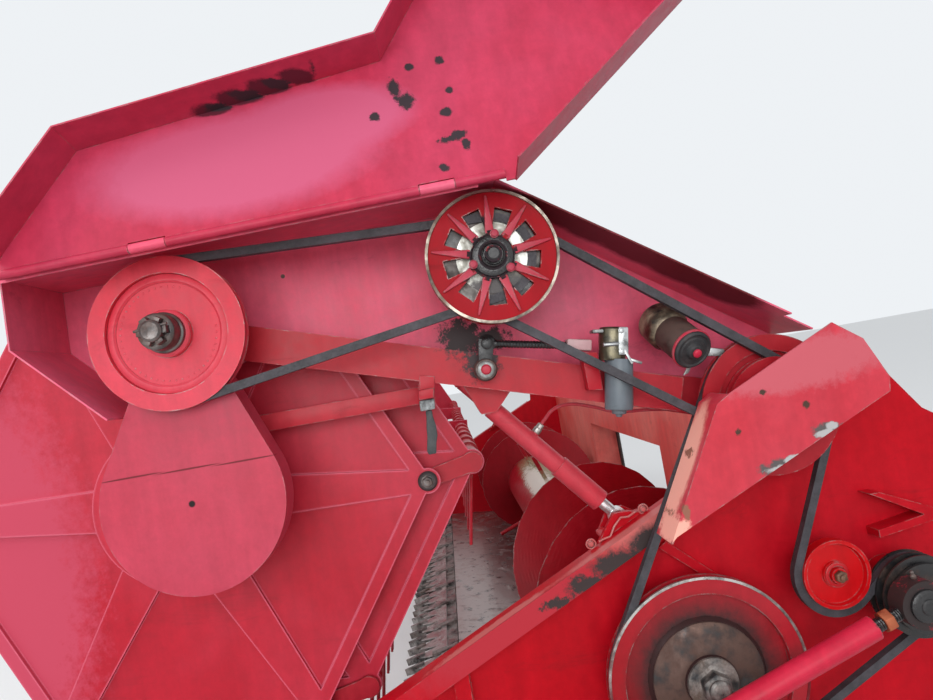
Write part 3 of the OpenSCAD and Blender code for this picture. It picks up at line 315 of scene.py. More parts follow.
# platform: trough, rear wall and frame
# The trough is rolled sheet that crop slides over, so its red survives only in a strip over bright
# worn steel. The wall and the beam behind it are welded on and keep a lighter, sun-bleached coat.
floor_stains = [
    ((0.50, 0.02, 0.03), 0.45, [((1.25, -0.520, 0.02), (0.60, 0.050, 0.30), 1.2)]),
    ((0.080, 0.062, 0.050), 0.6, [((1.25, -0.215, 0.10), (0.60, 0.075, 0.30), 0.8)]),
    ((0.16, 0.14, 0.13), 0.4, [((1.25, -0.375, 0.02), (0.60, 0.055, 0.30), 0.8)]),
]
dress(steel("worn_trough_sheet", bare=(0.50, 0.47, 0.45), rust=(0.30, 0.15, 0.13), rusting=0.05,
            grease=0.16, patches=floor_stains), "floor_trough")
frame_red = painted("bleached_frame_paint", (0.72, 0.09, 0.08), (0.84, 0.27, 0.22), bleach=0.8, rubbing=0.7,
                    grime=0.25)
dress(frame_red, "rear_wall", "rear_frame")

rubbery, takes, gives, coords = group_of(
    "dusty_rubber",
    [("Rubber", "c"), ("Dust", "c"), ("Dusting", "f")],
    [("Color", "c"), ("Roughness", "f"), ("Height", "f")],
)
dusting = spread(rubbery, noise(rubbery, coords, 18.0, 5.0, 0.7), 0.40, 0.68)
dusting = sum_of(rubbery, "MULTIPLY", dusting, takes["Dusting"])
weave = noise(rubbery, coords, 260.0, 2.0, 0.6)
given(rubbery, gives, {
    "Color": mixed(rubbery, dusting, takes["Rubber"], takes["Dust"]),
    "Roughness": spread(rubbery, weave, 0.3, 0.7, 0.5, 0.75),
    "Height": weave,
})


def rubber(name, black, dust, dusting):
    return coated(name, rubbery, {"Rubber": black, "Dust": dust, "Dusting": dusting}, (), 0.15, 0.001)


dress(rubber("throat_rubber", (0.014, 0.013, 0.014), (0.10, 0.085, 0.075), 0.5), "throat_seal")


# screws of the throat seal
# Zinc-plated screws and washers hold the rubber to the frame at a hand's width. Only their heads show
# from the front, since the threads end inside the frame.
def turned(name, place, way, steps, sides=48, soften=0.0006, ring=False):
    # A piece turned or pressed along one line, from its back to its front; each step is (radius, distance).
    # A ring's steps run round its section and close on the first.
    way = Vector(way).normalized()
    radius, along = steps[0]
    bpy.ops.object.select_all(action="DESELECT")
    bpy.ops.mesh.primitive_circle_add(vertices=sides, radius=radius,
                                      fill_type="NOTHING" if ring else "NGON",
                                      location=Vector(place) + way * along,
                                      rotation=way.to_track_quat("Z", "Y").to_euler())
    piece = bpy.context.object
    piece.name = name
    bpy.ops.object.mode_set(mode="EDIT")
    bpy.ops.mesh.select_all(action="SELECT")
    for r, a in steps[1:] + (steps[:1] if ring else []):
        bpy.ops.mesh.extrude_region_move(TRANSFORM_OT_translate={"value": way * (a - along)})
        if r != radius:
            bpy.ops.transform.resize(value=(r / radius,) * 3, center_override=Vector(place) + way * a)
        radius, along = r, a
    finished(weld=0.00001)
    return softened(piece, soften)


def finished(weld=0.0):
    # Ends the editing of a piece: points that fall together are merged and its faces turned outward
    bpy.ops.mesh.select_all(action="SELECT")
    if weld:
        bpy.ops.mesh.remove_doubles(threshold=weld)
    bpy.ops.mesh.normals_make_consistent(inside=False)
    bpy.ops.object.mode_set(mode="OBJECT")


def softened(piece, width):
    only(piece)
    bpy.ops.object.transform_apply(location=True, rotation=True, scale=True)
    if width:
        round_edges = piece.modifiers.new("round_edges", "BEVEL")
        round_edges.width = width
        round_edges.segments = 2
        round_edges.limit_method = "ANGLE"
        round_edges.angle_limit = math.radians(38)
        bpy.ops.object.modifier_apply(modifier=round_edges.name)
    return piece


def bar(name, place, size, turn=(0, 0, 0), soften=0.001):
    # A flat or square bar: a box whose edges are rounded
    bpy.ops.object.select_all(action="DESELECT")
    bpy.ops.mesh.primitive_cube_add(size=1, location=place, rotation=[math.radians(a) for a in turn],
                                    scale=size)
    piece = bpy.context.object
    piece.name = name
    return softened(piece, soften)


def folded(name, outline, x0, x1, soften=0.0008):
    # A plate cut to a side-view outline of (rear, up) places and given its thickness across the header
    bpy.ops.object.select_all(action="DESELECT")
    bpy.ops.mesh.primitive_circle_add(vertices=len(outline), radius=0.1, fill_type="NGON",
                                      location=(x0, 0, 0))
    piece = bpy.context.object
    piece.name = name
    bpy.ops.object.transform_apply(location=True, rotation=True, scale=True)
    for corner, (y, z) in zip(piece.data.vertices, outline):
        corner.co = (x0, y, z)
    bpy.ops.object.mode_set(mode="EDIT")
    bpy.ops.mesh.select_all(action="SELECT")
    bpy.ops.mesh.extrude_region_move(TRANSFORM_OT_translate={"value": (x1 - x0, 0, 0)})
    finished()
    return softened(piece, soften)


def again(piece, moves):
    # Copies of a piece, each with its own mesh, joined to it as one
    twins = []
    for move in moves:
        twin = piece.copy()
        twin.data = piece.data.copy()
        scene.collection.objects.link(twin)
        twin.data.transform(move if isinstance(move, Matrix) else Matrix.Translation(move))
        twins.append(twin)
    return joined(piece, *twins)


def joined(piece, *others):
    only(piece)
    for other in others:
        other.select_set(True)
    bpy.context.view_layer.objects.active = piece
    bpy.ops.object.join()
    return piece


def round_about(place, angle):
    # A turn about the cross axis through a side-view place
    centre = Vector((0, place[0], place[1]))
    swing = Matrix.Rotation(math.radians(angle), 4, "X")
    return Matrix.Translation(centre) @ swing @ Matrix.Translation(-centre)


def fitted(piece, body, material, smooth=32):
    only(piece)
    piece.data.materials.clear()
    piece.data.materials.append(material)
    bpy.ops.object.shade_smooth_by_angle(angle=math.radians(smooth))
    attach(piece, body)
    return piece


def bolt(name, place, way, across_flats=0.017, high=0.008, washer=0.014, thread=0.006):
    # A set screw seen from its head, on a round washer, with the thread's end if it shows
    head = turned(name, place, way, [(washer, 0.0), (washer, 0.002)], sides=24, soften=0.0004)
    six = turned(name + "_head", place, way, [(across_flats * 0.577, 0.0018),
                                              (across_flats * 0.577, high * 0.85),
                                              (across_flats * 0.5, high)], sides=6, soften=0.0004)
    parts = [six]
    if thread:
        parts.append(turned(name + "_end", place, way, [(0.0042, high * 0.9), (0.0042, high + thread)],
                            sides=12, soften=0))
    return joined(head, *parts)


zinc = steel("zinc_screws", bare=(0.46, 0.45, 0.43), rust=(0.16, 0.10, 0.07), rusting=0.2, grease=0.1)
screw_count, screw_pitch, screw_height = 10, 0.10, 0.025
seal_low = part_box("throat_seal")[0]
first_screw = (-0.5 * (screw_count - 1) * screw_pitch, seal_low.y, seal_low.z + screw_height)
screw = bolt("seal_screws", first_screw, (0, -1, 0), thread=0)
again(screw, [(screw_pitch * i, 0, 0) for i in range(1, screw_count)])
fitted(screw, "platform", zinc)

# side walls, rails and dividers
# Flat plates of heavier sheet, laser-straight at the top, where a square rail is welded on. The paint
# here is out of the sun and stays deep. A pale salmon patch along the rail's top is a painted
# highlight, and a dark band along the rail's side below it is painted shade.
wall_red = (0.50, 0.003, 0.011)
rail_highlight_shade_and_stains = [
    # A painted highlight in pale salmon on the rail's top
    ((0.60, 0.15, 0.14), 0.42, [((1.565, -0.06, 0.640), (0.020, 0.32, 0.115), 0.3),
                                ((1.565, -0.40, 0.500), (0.020, 0.20, 0.085), 0.6)]),
    ((0.46, 0.030, 0.045), 0.45, [((1.584, -0.30, 0.485), (0.012, 0.40, 0.155), 0.2)]),
    # A band of painted shade along the rail's side
    ((0.050, 0.036, 0.036), 0.5, [((1.584, -0.035, 0.590), (0.014, 0.075, 0.040), 0.4),
                                  ((1.584, -0.115, 0.562), (0.014, 0.070, 0.034), 0.6),
                                  ((1.584, -0.185, 0.535), (0.014, 0.050, 0.024), 0.9),
                                  ((1.584, -0.245, 0.512), (0.014, 0.036, 0.014), 1.4)]),
]
dress(painted("side_wall_paint", wall_red, (0.54, 0.009, 0.022), bleach=0.4, rubbing=0.9, grime=0.3,
              sheen=0.12, patches=rail_highlight_shade_and_stains), "side_wall_left", "side_wall_right", "panel_brackets")
dress(painted("divider_paint", (0.48, 0.012, 0.025), (0.60, 0.05, 0.10), bleach=0.6, rubbing=1.0,
              grime=0.3), "divider_left", "divider_right")

# cutter bar
# Forged fingers bolted under the front edge, and riveted triangular blades that slide through them.
# The points are polished by the crop and the roots dark with sap.
dress(steel("forged_fingers", bare=(0.40, 0.385, 0.37), rust=(0.09, 0.05, 0.035), rusting=0.34,
            grease=0.28), "cutter_fingers")
dress(steel("knife_steel", bare=(0.60, 0.57, 0.56), rust=(0.22, 0.08, 0.06), rusting=0.25, grease=0.12),
      "knife")
dress(steel("skid_steel", bare=(0.36, 0.35, 0.345), rust=(0.13, 0.06, 0.035), rusting=0.4, grease=0.1),
      "skids")

# auger
# A welded drum with left and right screw flights that gather crop to the middle, where rods push it
# on. Crop has polished the drum near the throat and rubbed the flights' rims to bare steel.
deep_red, faded = (0.33, 0.003, 0.010), (0.40, 0.012, 0.026)
drum_wear = [
    ((0.30, 0.24, 0.14), 0.4, [((0.05, -0.04, 0.47), (0.85, 0.10, 0.07), 0.8)]),
    ((0.72, 0.66, 0.58), 0.35, [((0.00, -0.075, 0.463), (0.50, 0.060, 0.050), 0.9),
                                ((0.50, -0.03, 0.48), (0.14, 0.060, 0.040), 0.8)]),
]
dress(painted("auger_paint", deep_red, faded, bleach=0.4, rubbing=1.6, grime=0.3, sheen=0.2,
              patches=drum_wear), "auger_tube")
dress(painted("flight_paint", deep_red, faded, bleach=0.4, rubbing=2.0, grime=0.25), "auger_flights")

# reel
# Two six-sided pressed end plates carry six pipes with spring tines. The outer plate turns on its own
# ring, a little in front of the reel's shaft, and keeps the tines upright.
bleached_front = ((0.56, 0.06, 0.11), 0.42, [((1.45, -1.36, 0.72), (0.10, 0.24, 0.46), 0.4)])
# The plate's folds carry a painted highlight in light pink, where its ribs would catch the light
plate_red = painted("reel_plate_paint", (0.48, 0.010, 0.028), (0.56, 0.036, 0.068), bleach=0.7, rubbing=0.3,
                    grime=0.2, fold_highlight=(0.72, 0.16, 0.24), patches=[bleached_front])
dress(plate_red, "reel_core", "control_plate", "control_ring")
bar_red = painted("tine_bar_paint", (0.40, 0.008, 0.02), (0.5, 0.03, 0.05), bleach=0.5, rubbing=0.9,
                  grime=0.3)
dress(bar_red, *[f"tine_bar_{i}" for i in range(6)])

# tine bar bearings on the outer plate
# A bolt with a black nylon bush at each corner of the outer plate carries the crank of one tine bar.
# The six stand on a circle about the plate's own ring.
ring_centre = (-0.951, 0.802)
bar_circle, bar_angle = 0.505, -4.9
black_nylon = rubber("black_nylon", (0.015, 0.014, 0.015), (0.12, 0.05, 0.05), 0.35)
dark_iron = steel("dark_fasteners", bare=(0.16, 0.145, 0.14), rust=(0.10, 0.045, 0.03), rusting=0.4,
                  grease=0.3)
corner = (ring_centre[0] + bar_circle * math.cos(math.radians(bar_angle)),
          ring_centre[1] + bar_circle * math.sin(math.radians(bar_angle)))
sixth_turns = [round_about(ring_centre, 60 * i) for i in range(1, 6)]
bush_x, bolt_x = 1.4505, 1.4595
bush = turned("crank_bushes", (bush_x, *corner), (1, 0, 0), [(0.020, 0.0), (0.020, 0.006), (0.016, 0.009)],
              sides=32)
fitted(again(bush, sixth_turns), "tine_control", black_nylon)
crank_bolt = bolt("crank_bolts", (bolt_x, *corner), (1, 0, 0), across_flats=0.019, high=0.009, washer=0.013)
fitted(again(crank_bolt, sixth_turns), "tine_control", dark_iron)

# reel arms and belt tray
# Square tubes hinged behind the auger. A tray of folded sheet is hung on the left one to guard the
# belts from crop. Inside it is painted a little lighter than the arm, which stands partly for the sky
# light reflected in it, and its rear upper flange carries painted shade.
adjuster_grease = ((0.030, 0.012, 0.014), 0.4,
                   [((1.53, -0.302, 0.975), (0.08, 0.040, 0.036), 1.2),
                    ((1.50, -0.330, 1.030), (0.12, 0.050, 0.046), 1.3),
                    ((1.50, -0.270, 1.018), (0.12, 0.036, 0.030), 1.4)])
arm_red = painted("arm_paint", (0.44, 0.009, 0.018), (0.52, 0.027, 0.046), bleach=0.6, rubbing=0.9,
                  grime=0.35, patches=[adjuster_grease])
dress(arm_red, "arm_left", "arm_right")
# Painted shade along the tray's rear upper flange
shade_along_fold = [((1.62, -0.130, 1.236), (0.085, 0.110, 0.055), 0.2),
                    ((1.62, -0.060, 1.188), (0.085, 0.095, 0.055), 0.2),
                    ((1.62, 0.010, 1.136), (0.085, 0.095, 0.060), 0.2),
                    ((1.62, 0.080, 1.084), (0.085, 0.095, 0.060), 0.2),
                    ((1.62, 0.155, 1.028), (0.085, 0.095, 0.060), 0.2)]
dress(painted("tray_paint", (0.78, 0.080, 0.15), (0.84, 0.15, 0.26), bleach=0.8, rubbing=0.9, grime=0.25,
              patches=[((0.13, 0.010, 0.014), 0.5, shade_along_fold), adjuster_grease]), "belt_tray")

# chain case
# Two pressed halves lap in a seam above the middle and hide the chain that turns the reel. A screw is
# missing from the lower one.
case_x = 1.62
seam_way = ((-0.955, 0.8828), (-0.854, 0.8802), (-0.753, 0.8773))
seam = [((case_x, y, z), (0.05, 0.062, 0.0018), 0.02) for y, z in seam_way]
screw_hole = ((case_x, -0.857, 0.818), (0.05, 0.0066, 0.0066), 0.02)
dress(painted("case_paint", (0.50, 0.034, 0.066), (0.54, 0.058, 0.105), bleach=0.7, rubbing=0.6, grime=0.15,
              patches=[((0.16, 0.012, 0.02), 0.5, seam), ((0.008, 0.004, 0.004), 0.6, [screw_hole])]),
              "chain_case")

# belts and pulleys
# Wrapped V-belts, grey with dust on their backs, in turned cast pulleys sprayed with the machine.
belt_black = rubber("belt_rubber", (0.022, 0.020, 0.024), (0.085, 0.075, 0.09), 0.7)
dress(belt_black, "belt_reel", "belt_variator", "belt_main")
hub_shade = ((0.04, 0.03, 0.03), 0.5, [((1.703, -0.839, 1.120), (0.031, 0.048, 0.048), 0.1)])
dress(painted("pulley_paint", (0.66, 0.024, 0.048), (0.72, 0.07, 0.11), bleach=0.7, rubbing=1.4, grime=0.2,
              patches=[hub_shade]), "reel_pulley")
hub_splash = ((0.022, 0.014, 0.018), 0.45, [((1.664, -0.258, 1.150), (0.05, 0.058, 0.060), 1.4),
                                            ((1.664, -0.262, 1.205), (0.05, 0.026, 0.022), 1.6)])
dress(painted("variator_paint", (0.34, 0.003, 0.007), (0.42, 0.012, 0.024), bleach=0.7, rubbing=1.8,
              grime=0.4, sheen=0.08, patches=[hub_splash]), "variator")
dress(painted("countershaft_paint", (0.38, 0.008, 0.016), (0.44, 0.02, 0.035), bleach=0.5, rubbing=1.2,
              grime=0.3), "countershaft")
dress(painted("idler_paint", (0.57, 0.0005, 0.003), (0.58, 0.004, 0.009), bleach=0.5, rubbing=0.8,
              grime=0.15), "idler_pulley")
# Darker over the dish and out to a ring a little beyond its edge
dark_round_dish = ((0.035, 0.014, 0.014), 0.5, [((1.61, 0.0, 0.338), (0.05, 0.156, 0.156), 0.12)])
dress(painted("auger_pulley_paint", (0.34, 0.005, 0.012), (0.46, 0.025, 0.04), bleach=0.5, rubbing=2.4,
              grime=0.6, patches=[dark_round_dish]), "auger_pulley")
dress(steel("driver_iron", bare=(0.10, 0.09, 0.085), rust=(0.07, 0.035, 0.025), rusting=0.5, grease=0.6),
      "input_drive")
bearing_grease = ((0.03, 0.02, 0.02), 0.5, [((1.674, 0.36, 0.43), (0.08, 0.075, 0.065), 0.9)])
dress(painted("rod_paint", (0.54, 0.009, 0.034), (0.60, 0.027, 0.07), bleach=0.6, rubbing=0.7, grime=0.3,
              patches=[bearing_grease]), "knife_rod", "knife_lever")
dress(steel("adjuster_steel", bare=(0.42, 0.40, 0.37), rust=(0.10, 0.06, 0.04), rusting=0.3, grease=0.35),
      "speed_adjuster")

# reel pulley's face and nut
# The pulley's web is spot-welded to its rim round a pressed step, and a castle nut with a split pin
# locks it on the shaft of the chain drive.
reel_pulley_centre = (-0.839, 1.120)
web_x, boss_x, nut_x = 1.6468, 1.6568, 1.662
weld_circle, weld_step = 0.083, 7.5
step = turned("reel_pulley_step", (web_x, *reel_pulley_centre), (1, 0, 0),
              [(0.1055, 0.0), (0.1045, 0.0022), (0.0985, 0.0045), (0.0935, 0.0045), (0.0900, 0.0016),
               (0.0895, 0.0)], sides=96, soften=0, ring=True)
web_red = painted("pulley_web_paint", (0.68, 0.030, 0.055), (0.74, 0.08, 0.12), bleach=0.8, rubbing=0.6,
                  grime=0.15)
fitted(step, "reel_pulley", web_red)
dot = turned("reel_pulley_spot_welds", (web_x, reel_pulley_centre[0] + weld_circle, reel_pulley_centre[1]),
             (1, 0, 0), [(0.0022, 0.0), (0.0018, 0.0008), (0.0008, 0.0012)], sides=8, soften=0)
fitted(again(dot, [round_about(reel_pulley_centre, -weld_step * i) for i in range(1, 40)]), "reel_pulley",
       web_red)
hub_ring = turned("reel_pulley_hub_ring", (boss_x, *reel_pulley_centre), (1, 0, 0),
                  [(0.0415, 0.0), (0.0415, 0.003), (0.036, 0.006), (0.026, 0.006), (0.026, 0.0)], sides=64,
                  ring=True)
fitted(hub_ring, "reel_pulley", web_red)
castle = turned("reel_pulley_castle_nut", (nut_x, *reel_pulley_centre), (1, 0, 0),
                [(0.0355, 0.0), (0.0355, 0.010), (0.0312, 0.012), (0.0312, 0.0405), (0.0255, 0.0440)],
                sides=36, soften=0.0012)
tooth = bar("castle_tooth", (1.7130, reel_pulley_centre[0] + 0.0205, reel_pulley_centre[1]),
            (0.018, 0.009, 0.013))
again(tooth, [round_about(reel_pulley_centre, 60 * i) for i in range(1, 6)])
shaft_end = turned("castle_shaft_end", (1.704, *reel_pulley_centre), (1, 0, 0),
                   [(0.0186, 0.0), (0.0186, 0.0205), (0.0140, 0.0235)], sides=32)
pin = turned("castle_split_pin", (1.7215, reel_pulley_centre[0] - 0.028, reel_pulley_centre[1] + 0.003),
             (0, 1, 0.1), [(0.0024, 0.0), (0.0024, 0.056)], sides=12, soften=0)
fitted(joined(castle, tooth, shaft_end, pin), "reel_pulley", dark_iron)

# variable-speed pulley's face
# A cast disc with nine ribs and nine windows, through which the sliding sheave's bright cone shows.
# Grease has crept out round the nut and over the hub, and the rim is rubbed to brown steel.
variator_centre = (-0.258, 1.156)
rib_outline = [(variator_centre[0] + across, variator_centre[1] + out)
               for across, out in ((-0.0085, 0.040), (-0.0018, 0.108), (0.0018, 0.108), (0.0085, 0.040))]
rib = folded("variator_ribs", rib_outline, 1.6585, 1.6655, soften=0.0018)
rib.data.transform(round_about(variator_centre, -3))
fitted(again(rib, [round_about(variator_centre, 40 * i) for i in range(1, 9)]), "variator",
       painted("variator_rib_paint", (0.46, 0.02, 0.04), (0.54, 0.06, 0.10), bleach=0.9, rubbing=1.6,
               grime=0.4))
rim = turned("variator_rim", (1.660, *variator_centre), (1, 0, 0),
             [(0.1188, -0.0060), (0.1188, 0.0040), (0.1140, 0.0040), (0.1135, 0.0), (0.1135, -0.0060)],
             sides=96, soften=0, ring=True)
fitted(rim, "variator", steel("rubbed_rim", bare=(0.30, 0.26, 0.22), rust=(0.16, 0.10, 0.07), rusting=0.35,
                              grease=0.25))
dark_sheave = turned("variator_sliding_sheave", (1.6465, *variator_centre), (1, 0, 0),
                     [(0.0860, -0.002), (0.0860, 0.0015), (0.0620, 0.0016), (0.0620, -0.002)],
                     sides=64, soften=0, ring=True)
fitted(dark_sheave, "variator",
       steel("dark_sheave", bare=(0.10, 0.095, 0.09), rust=(0.06, 0.035, 0.03), rusting=0.4, grease=0.4))
cone = turned("variator_sheave_cone", (1.6482, *variator_centre), (1, 0, 0),
              [(0.0640, 0.0), (0.0640, 0.0008), (0.0385, 0.0016), (0.0385, 0.0)],
              sides=64, soften=0, ring=True)
cone_shade = ((0.05, 0.045, 0.045), 0.4, [((1.648, -0.258, 1.092), (0.05, 0.075, 0.040), 0.5)])
fitted(cone, "variator", steel("polished_cone", bare=(0.42, 0.42, 0.39), rust=(0.16, 0.14, 0.09),
                               rusting=0.25, grease=0.15, bump=0.04, patches=[cone_shade]))
greasy = steel("hub_grease", bare=(0.05, 0.045, 0.05), rust=(0.03, 0.02, 0.022), rusting=0.4, grease=0.9,
               bump=0.9)
hub = turned("variator_hub", (1.6655, *variator_centre), (1, 0, 0),
             [(0.038, -0.001), (0.036, 0.004), (0.028, 0.006), (0.0215, 0.006), (0.0215, 0.014),
              (0.019, 0.016), (0.0185, 0.012), (0.013, 0.012), (0.012, 0.026), (0.009, 0.028)], sides=64)
fitted(hub, "variator", greasy)
hub_bolt_circle, hub_bolt_angle = 0.038, math.radians(76)
hub_bolt_place = (1.6705, variator_centre[0] + hub_bolt_circle * math.cos(hub_bolt_angle),
                  variator_centre[1] + hub_bolt_circle * math.sin(hub_bolt_angle))
hub_bolt = bolt("variator_hub_bolts", hub_bolt_place, (1, 0, 0), across_flats=0.012, high=0.006,
                washer=0.008, thread=0)
fitted(again(hub_bolt, [round_about(variator_centre, a) for a in (120, 240)]), "variator",
       painted("greasy_red", (0.40, 0.02, 0.05), (0.5, 0.06, 0.1), bleach=0.5, rubbing=1.0, grime=0.6))

# speed adjuster
# An electric gear motor turns a threaded rod that swings the rocker and so moves the pulley's disc.
# The motor is enamelled grey, its gearbox die-cast and screwed to a red angle bracket on the arm.
silver = steel("die_cast", bare=(0.40, 0.41, 0.41), rust=(0.12, 0.11, 0.09), rusting=0.3, grease=0.2)
olive = steel("gearbox_zinc", bare=(0.17, 0.15, 0.10), rust=(0.08, 0.07, 0.05), rusting=0.3, grease=0.3)
enamel = painted("grey_enamel", (0.11, 0.135, 0.16), (0.17, 0.20, 0.225), bleach=0.7, rubbing=0.5,
                 grime=0.3, sheen=0.5)
motor_x = 1.5857
motor_way = Vector((0, -0.0165, -0.0925)).normalized()
motor = turned("adjuster_motor", (motor_x, -0.0515, 0.9372), motor_way,
               [(0.0262, 0.0), (0.0262, 0.090), (0.0245, 0.0945), (0.014, 0.0955), (0.013, 0.102),
                (0.007, 0.103), (0.005, 0.108)])
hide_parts("speed_adjuster")
fitted(motor, "reel_frame", enamel)
drum = turned("adjuster_gearbox", (motor_x - 0.002, -0.0550, 0.9860), motor_way,
              [(0.021, -0.012), (0.0248, -0.008), (0.0248, 0.046), (0.0240, 0.050)])
fitted(drum, "reel_frame", olive)
cover_plate = bar("adjuster_gear_cover", (motor_x + 0.021, -0.0430, 0.9690), (0.010, 0.019, 0.052),
                  turn=(-10, 0, 0), soften=0.003)
tube = turned("adjuster_worm_tube", (motor_x + 0.0215, -0.0765, 0.9680), (0, 1, -0.10),
              [(0.0042, -0.004), (0.0042, 0.030)], sides=24)
clip = bar("adjuster_clip", (motor_x + 0.0245, -0.0395, 0.9390), (0.004, 0.005, 0.030), turn=(20, 0, 0))
clip_foot = bar("adjuster_clip_foot", (motor_x + 0.0245, -0.0265, 0.9280), (0.004, 0.022, 0.005),
                turn=(-28, 0, 0))
top_lug = bar("adjuster_top_lug", (motor_x + 0.004, -0.0845, 0.9950), (0.030, 0.020, 0.006),
              turn=(-8, 0, 0))
screws = bolt("adjuster_cover_screws", (motor_x + 0.0255, -0.0440, 0.9885), (1, 0, 0), across_flats=0.008,
              high=0.004, washer=0.0055, thread=0)
again(screws, [(0, -0.006, -0.038)])
fitted(joined(cover_plate, tube, clip, clip_foot, top_lug, screws), "reel_frame", silver)
angle = folded("adjuster_bracket", [(-0.119, 0.962), (-0.090, 0.957), (-0.092, 0.886), (-0.118, 0.890)],
               1.5585, 1.590)
fitted(angle, "reel_frame", painted("bracket_paint", (0.44, 0.006, 0.016), (0.50, 0.02, 0.04), bleach=0.5,
                                    rubbing=1.0, grime=0.3))
nut_box = bar("adjuster_screw_housing", (motor_x, -0.122, 0.9760), (0.030, 0.046, 0.021), turn=(-12, 0, 0),
              soften=0.003)
fitted(nut_box, "reel_frame", painted("scraped_housing", (0.55, 0.08, 0.13), (0.62, 0.45, 0.45), bleach=1.0,
                                      rubbing=2.5, grime=0.3))
rod_end, rod_start = Vector((motor_x, -0.2901, 1.0089)), Vector((motor_x, -0.145, 0.9795))
run = (rod_start - rod_end).length
threads = [(0.0062 if i % 2 else 0.0074, 0.018 + (run - 0.018) * i / 44) for i in range(45)]
threaded = turned("adjuster_threaded_rod", rod_end, rod_start - rod_end,
                  [(0.0085, 0.0), (0.0085, 0.018), *threads], sides=16, soften=0)
joint = turned("adjuster_rod_joint", (motor_x - 0.018, -0.2901, 1.0089), (1, 0, 0),
               [(0.017, 0.0), (0.017, 0.024), (0.011, 0.026), (0.011, 0.034), (0.006, 0.036)], sides=32)
fork = folded("adjuster_fork", [(-0.313, 0.966), (-0.287, 0.966), (-0.276, 1.016), (-0.304, 1.020)], 1.588,
              1.596)
fitted(joined(threaded, joint, fork), "reel_frame", greasy)
ring = turned("rocker_black_ring", (1.5585, -0.3004, 0.9613), (1, 0, 0),
              [(0.0215, 0.0), (0.0215, 0.036), (0.0185, 0.041), (0.0155, 0.041)])
fitted(ring, "reel_frame", dark_iron)
washer = turned("rocker_washer", (1.5985, -0.3004, 0.9613), (1, 0, 0),
                [(0.0155, 0.0), (0.0155, 0.0035), (0.012, 0.005)])
fitted(washer, "reel_frame", silver)
stud = turned("rocker_stud", (1.6030, -0.3004, 0.9613), (1, 0, 0),
              [(0.0095, 0.0), (0.0095, 0.005), (0.0065, 0.008)], sides=24)
fitted(stud, "reel_frame", painted("stud_paint", (0.5, 0.02, 0.05), (0.6, 0.08, 0.1), bleach=0.5,
                                   rubbing=1.0, grime=0.3))

# reel lift valve's motor
# A second, stouter motor with a pressed black end cap stands out from the tray. Chaff sticks to its
# greasy flange. Its short leads and the plug that hangs below them are left out.
front, back = Vector((1.632, 0.0712, 0.9328)), Vector((1.572, 0.0600, 0.9680))
lie = (front - back).normalized()
long = (front - back).length
body = turned("valve_motor", back, lie, [(0.0345, 0.0), (0.0355, 0.004), (0.0355, long - 0.004)])
fitted(body, "reel_frame", steel("brown_motor_case", bare=(0.13, 0.095, 0.085), rust=(0.09, 0.05, 0.04),
                                 rusting=0.5, grease=0.2))
red_ring = turned("valve_motor_ring", back, lie,
                  [(0.0350, long - 0.005), (0.0385, long - 0.003), (0.0385, long + 0.0005),
                   (0.0350, long + 0.002)], soften=0)
fitted(red_ring, "reel_frame", painted("ring_paint", (0.5, 0.02, 0.05), (0.6, 0.06, 0.1), bleach=0.5,
                                       rubbing=1.0, grime=0.3))
cap = turned("valve_motor_cap", front, lie,
             [(0.0362, 0.0), (0.0355, 0.006), (0.0315, 0.0085), (0.0290, 0.0062), (0.0255, 0.0062),
              (0.0235, 0.008), (0.0165, 0.008), (0.0135, 0.016), (0.0095, 0.017)])
fitted(cap, "reel_frame", rubber("cap_enamel", (0.016, 0.016, 0.018), (0.11, 0.09, 0.09), 0.5))
nub = turned("valve_motor_nub", front, lie, [(0.0080, 0.0165), (0.0080, 0.021), (0.0045, 0.023)], sides=24)
fitted(nub, "reel_frame", painted("nub_paint", (0.52, 0.015, 0.05), (0.6, 0.05, 0.09), bleach=0.5,
                                  rubbing=0.6, grime=0.2))
flange = turned("valve_gearbox", back, lie,
                [(0.030, -0.060), (0.040, -0.054), (0.0415, -0.010), (0.037, -0.002), (0.034, 0.001)])
fitted(flange, "reel_frame", steel("oily_gearbox", bare=(0.16, 0.12, 0.09), rust=(0.40, 0.32, 0.22),
                                   rusting=0.42, grease=0.35, bump=0.9))
arm_lug = folded("valve_side_lug", [(0.104, 0.932), (0.142, 0.922), (0.146, 0.908), (0.108, 0.914)], 1.588,
                 1.600)
strap = folded("valve_strap", [(0.060, 0.886), (0.071, 0.889), (0.088, 0.912), (0.082, 0.916)], 1.590,
               1.594)
fitted(joined(arm_lug, strap), "reel_frame", silver)

# lower drive's hubs and nuts
# The big pulley's dished web is screwed to a hub with a lock nut thick with old grease; the idler
# turns on a bolt with a rusty head.
auger_centre, idler_centre, crank_centre = (0.0, 0.338), (0.267, 0.479), (0.3674, 0.4305)
dish = turned("auger_pulley_dish", (1.6085, *auger_centre), (1, 0, 0),
              [(0.103, -0.0012), (0.102, 0.001), (0.094, 0.0055), (0.070, 0.0065), (0.062, 0.010),
               (0.052, 0.011)], sides=96, soften=0)
fitted(dish, "auger", steel("rusty_dish", bare=(0.13, 0.08, 0.065), rust=(0.075, 0.035, 0.025),
                            rusting=0.55, grease=0.35, bump=0.3))
nut = turned("auger_hub_nut", (1.6265, *auger_centre), (1, 0, 0),
             [(0.040, 0.0), (0.040, 0.006), (0.028, 0.008), (0.028, 0.028), (0.022, 0.031)], sides=6,
             soften=0.0015)
washer = turned("auger_hub_washer", (1.6262, *auger_centre), (1, 0, 0),
                [(0.047, 0.0), (0.046, 0.005), (0.038, 0.007)])
end = turned("auger_shaft_end", (1.6262, *auger_centre), (1, 0, 0),
             [(0.019, 0.025), (0.019, 0.036), (0.015, 0.039)], sides=32)
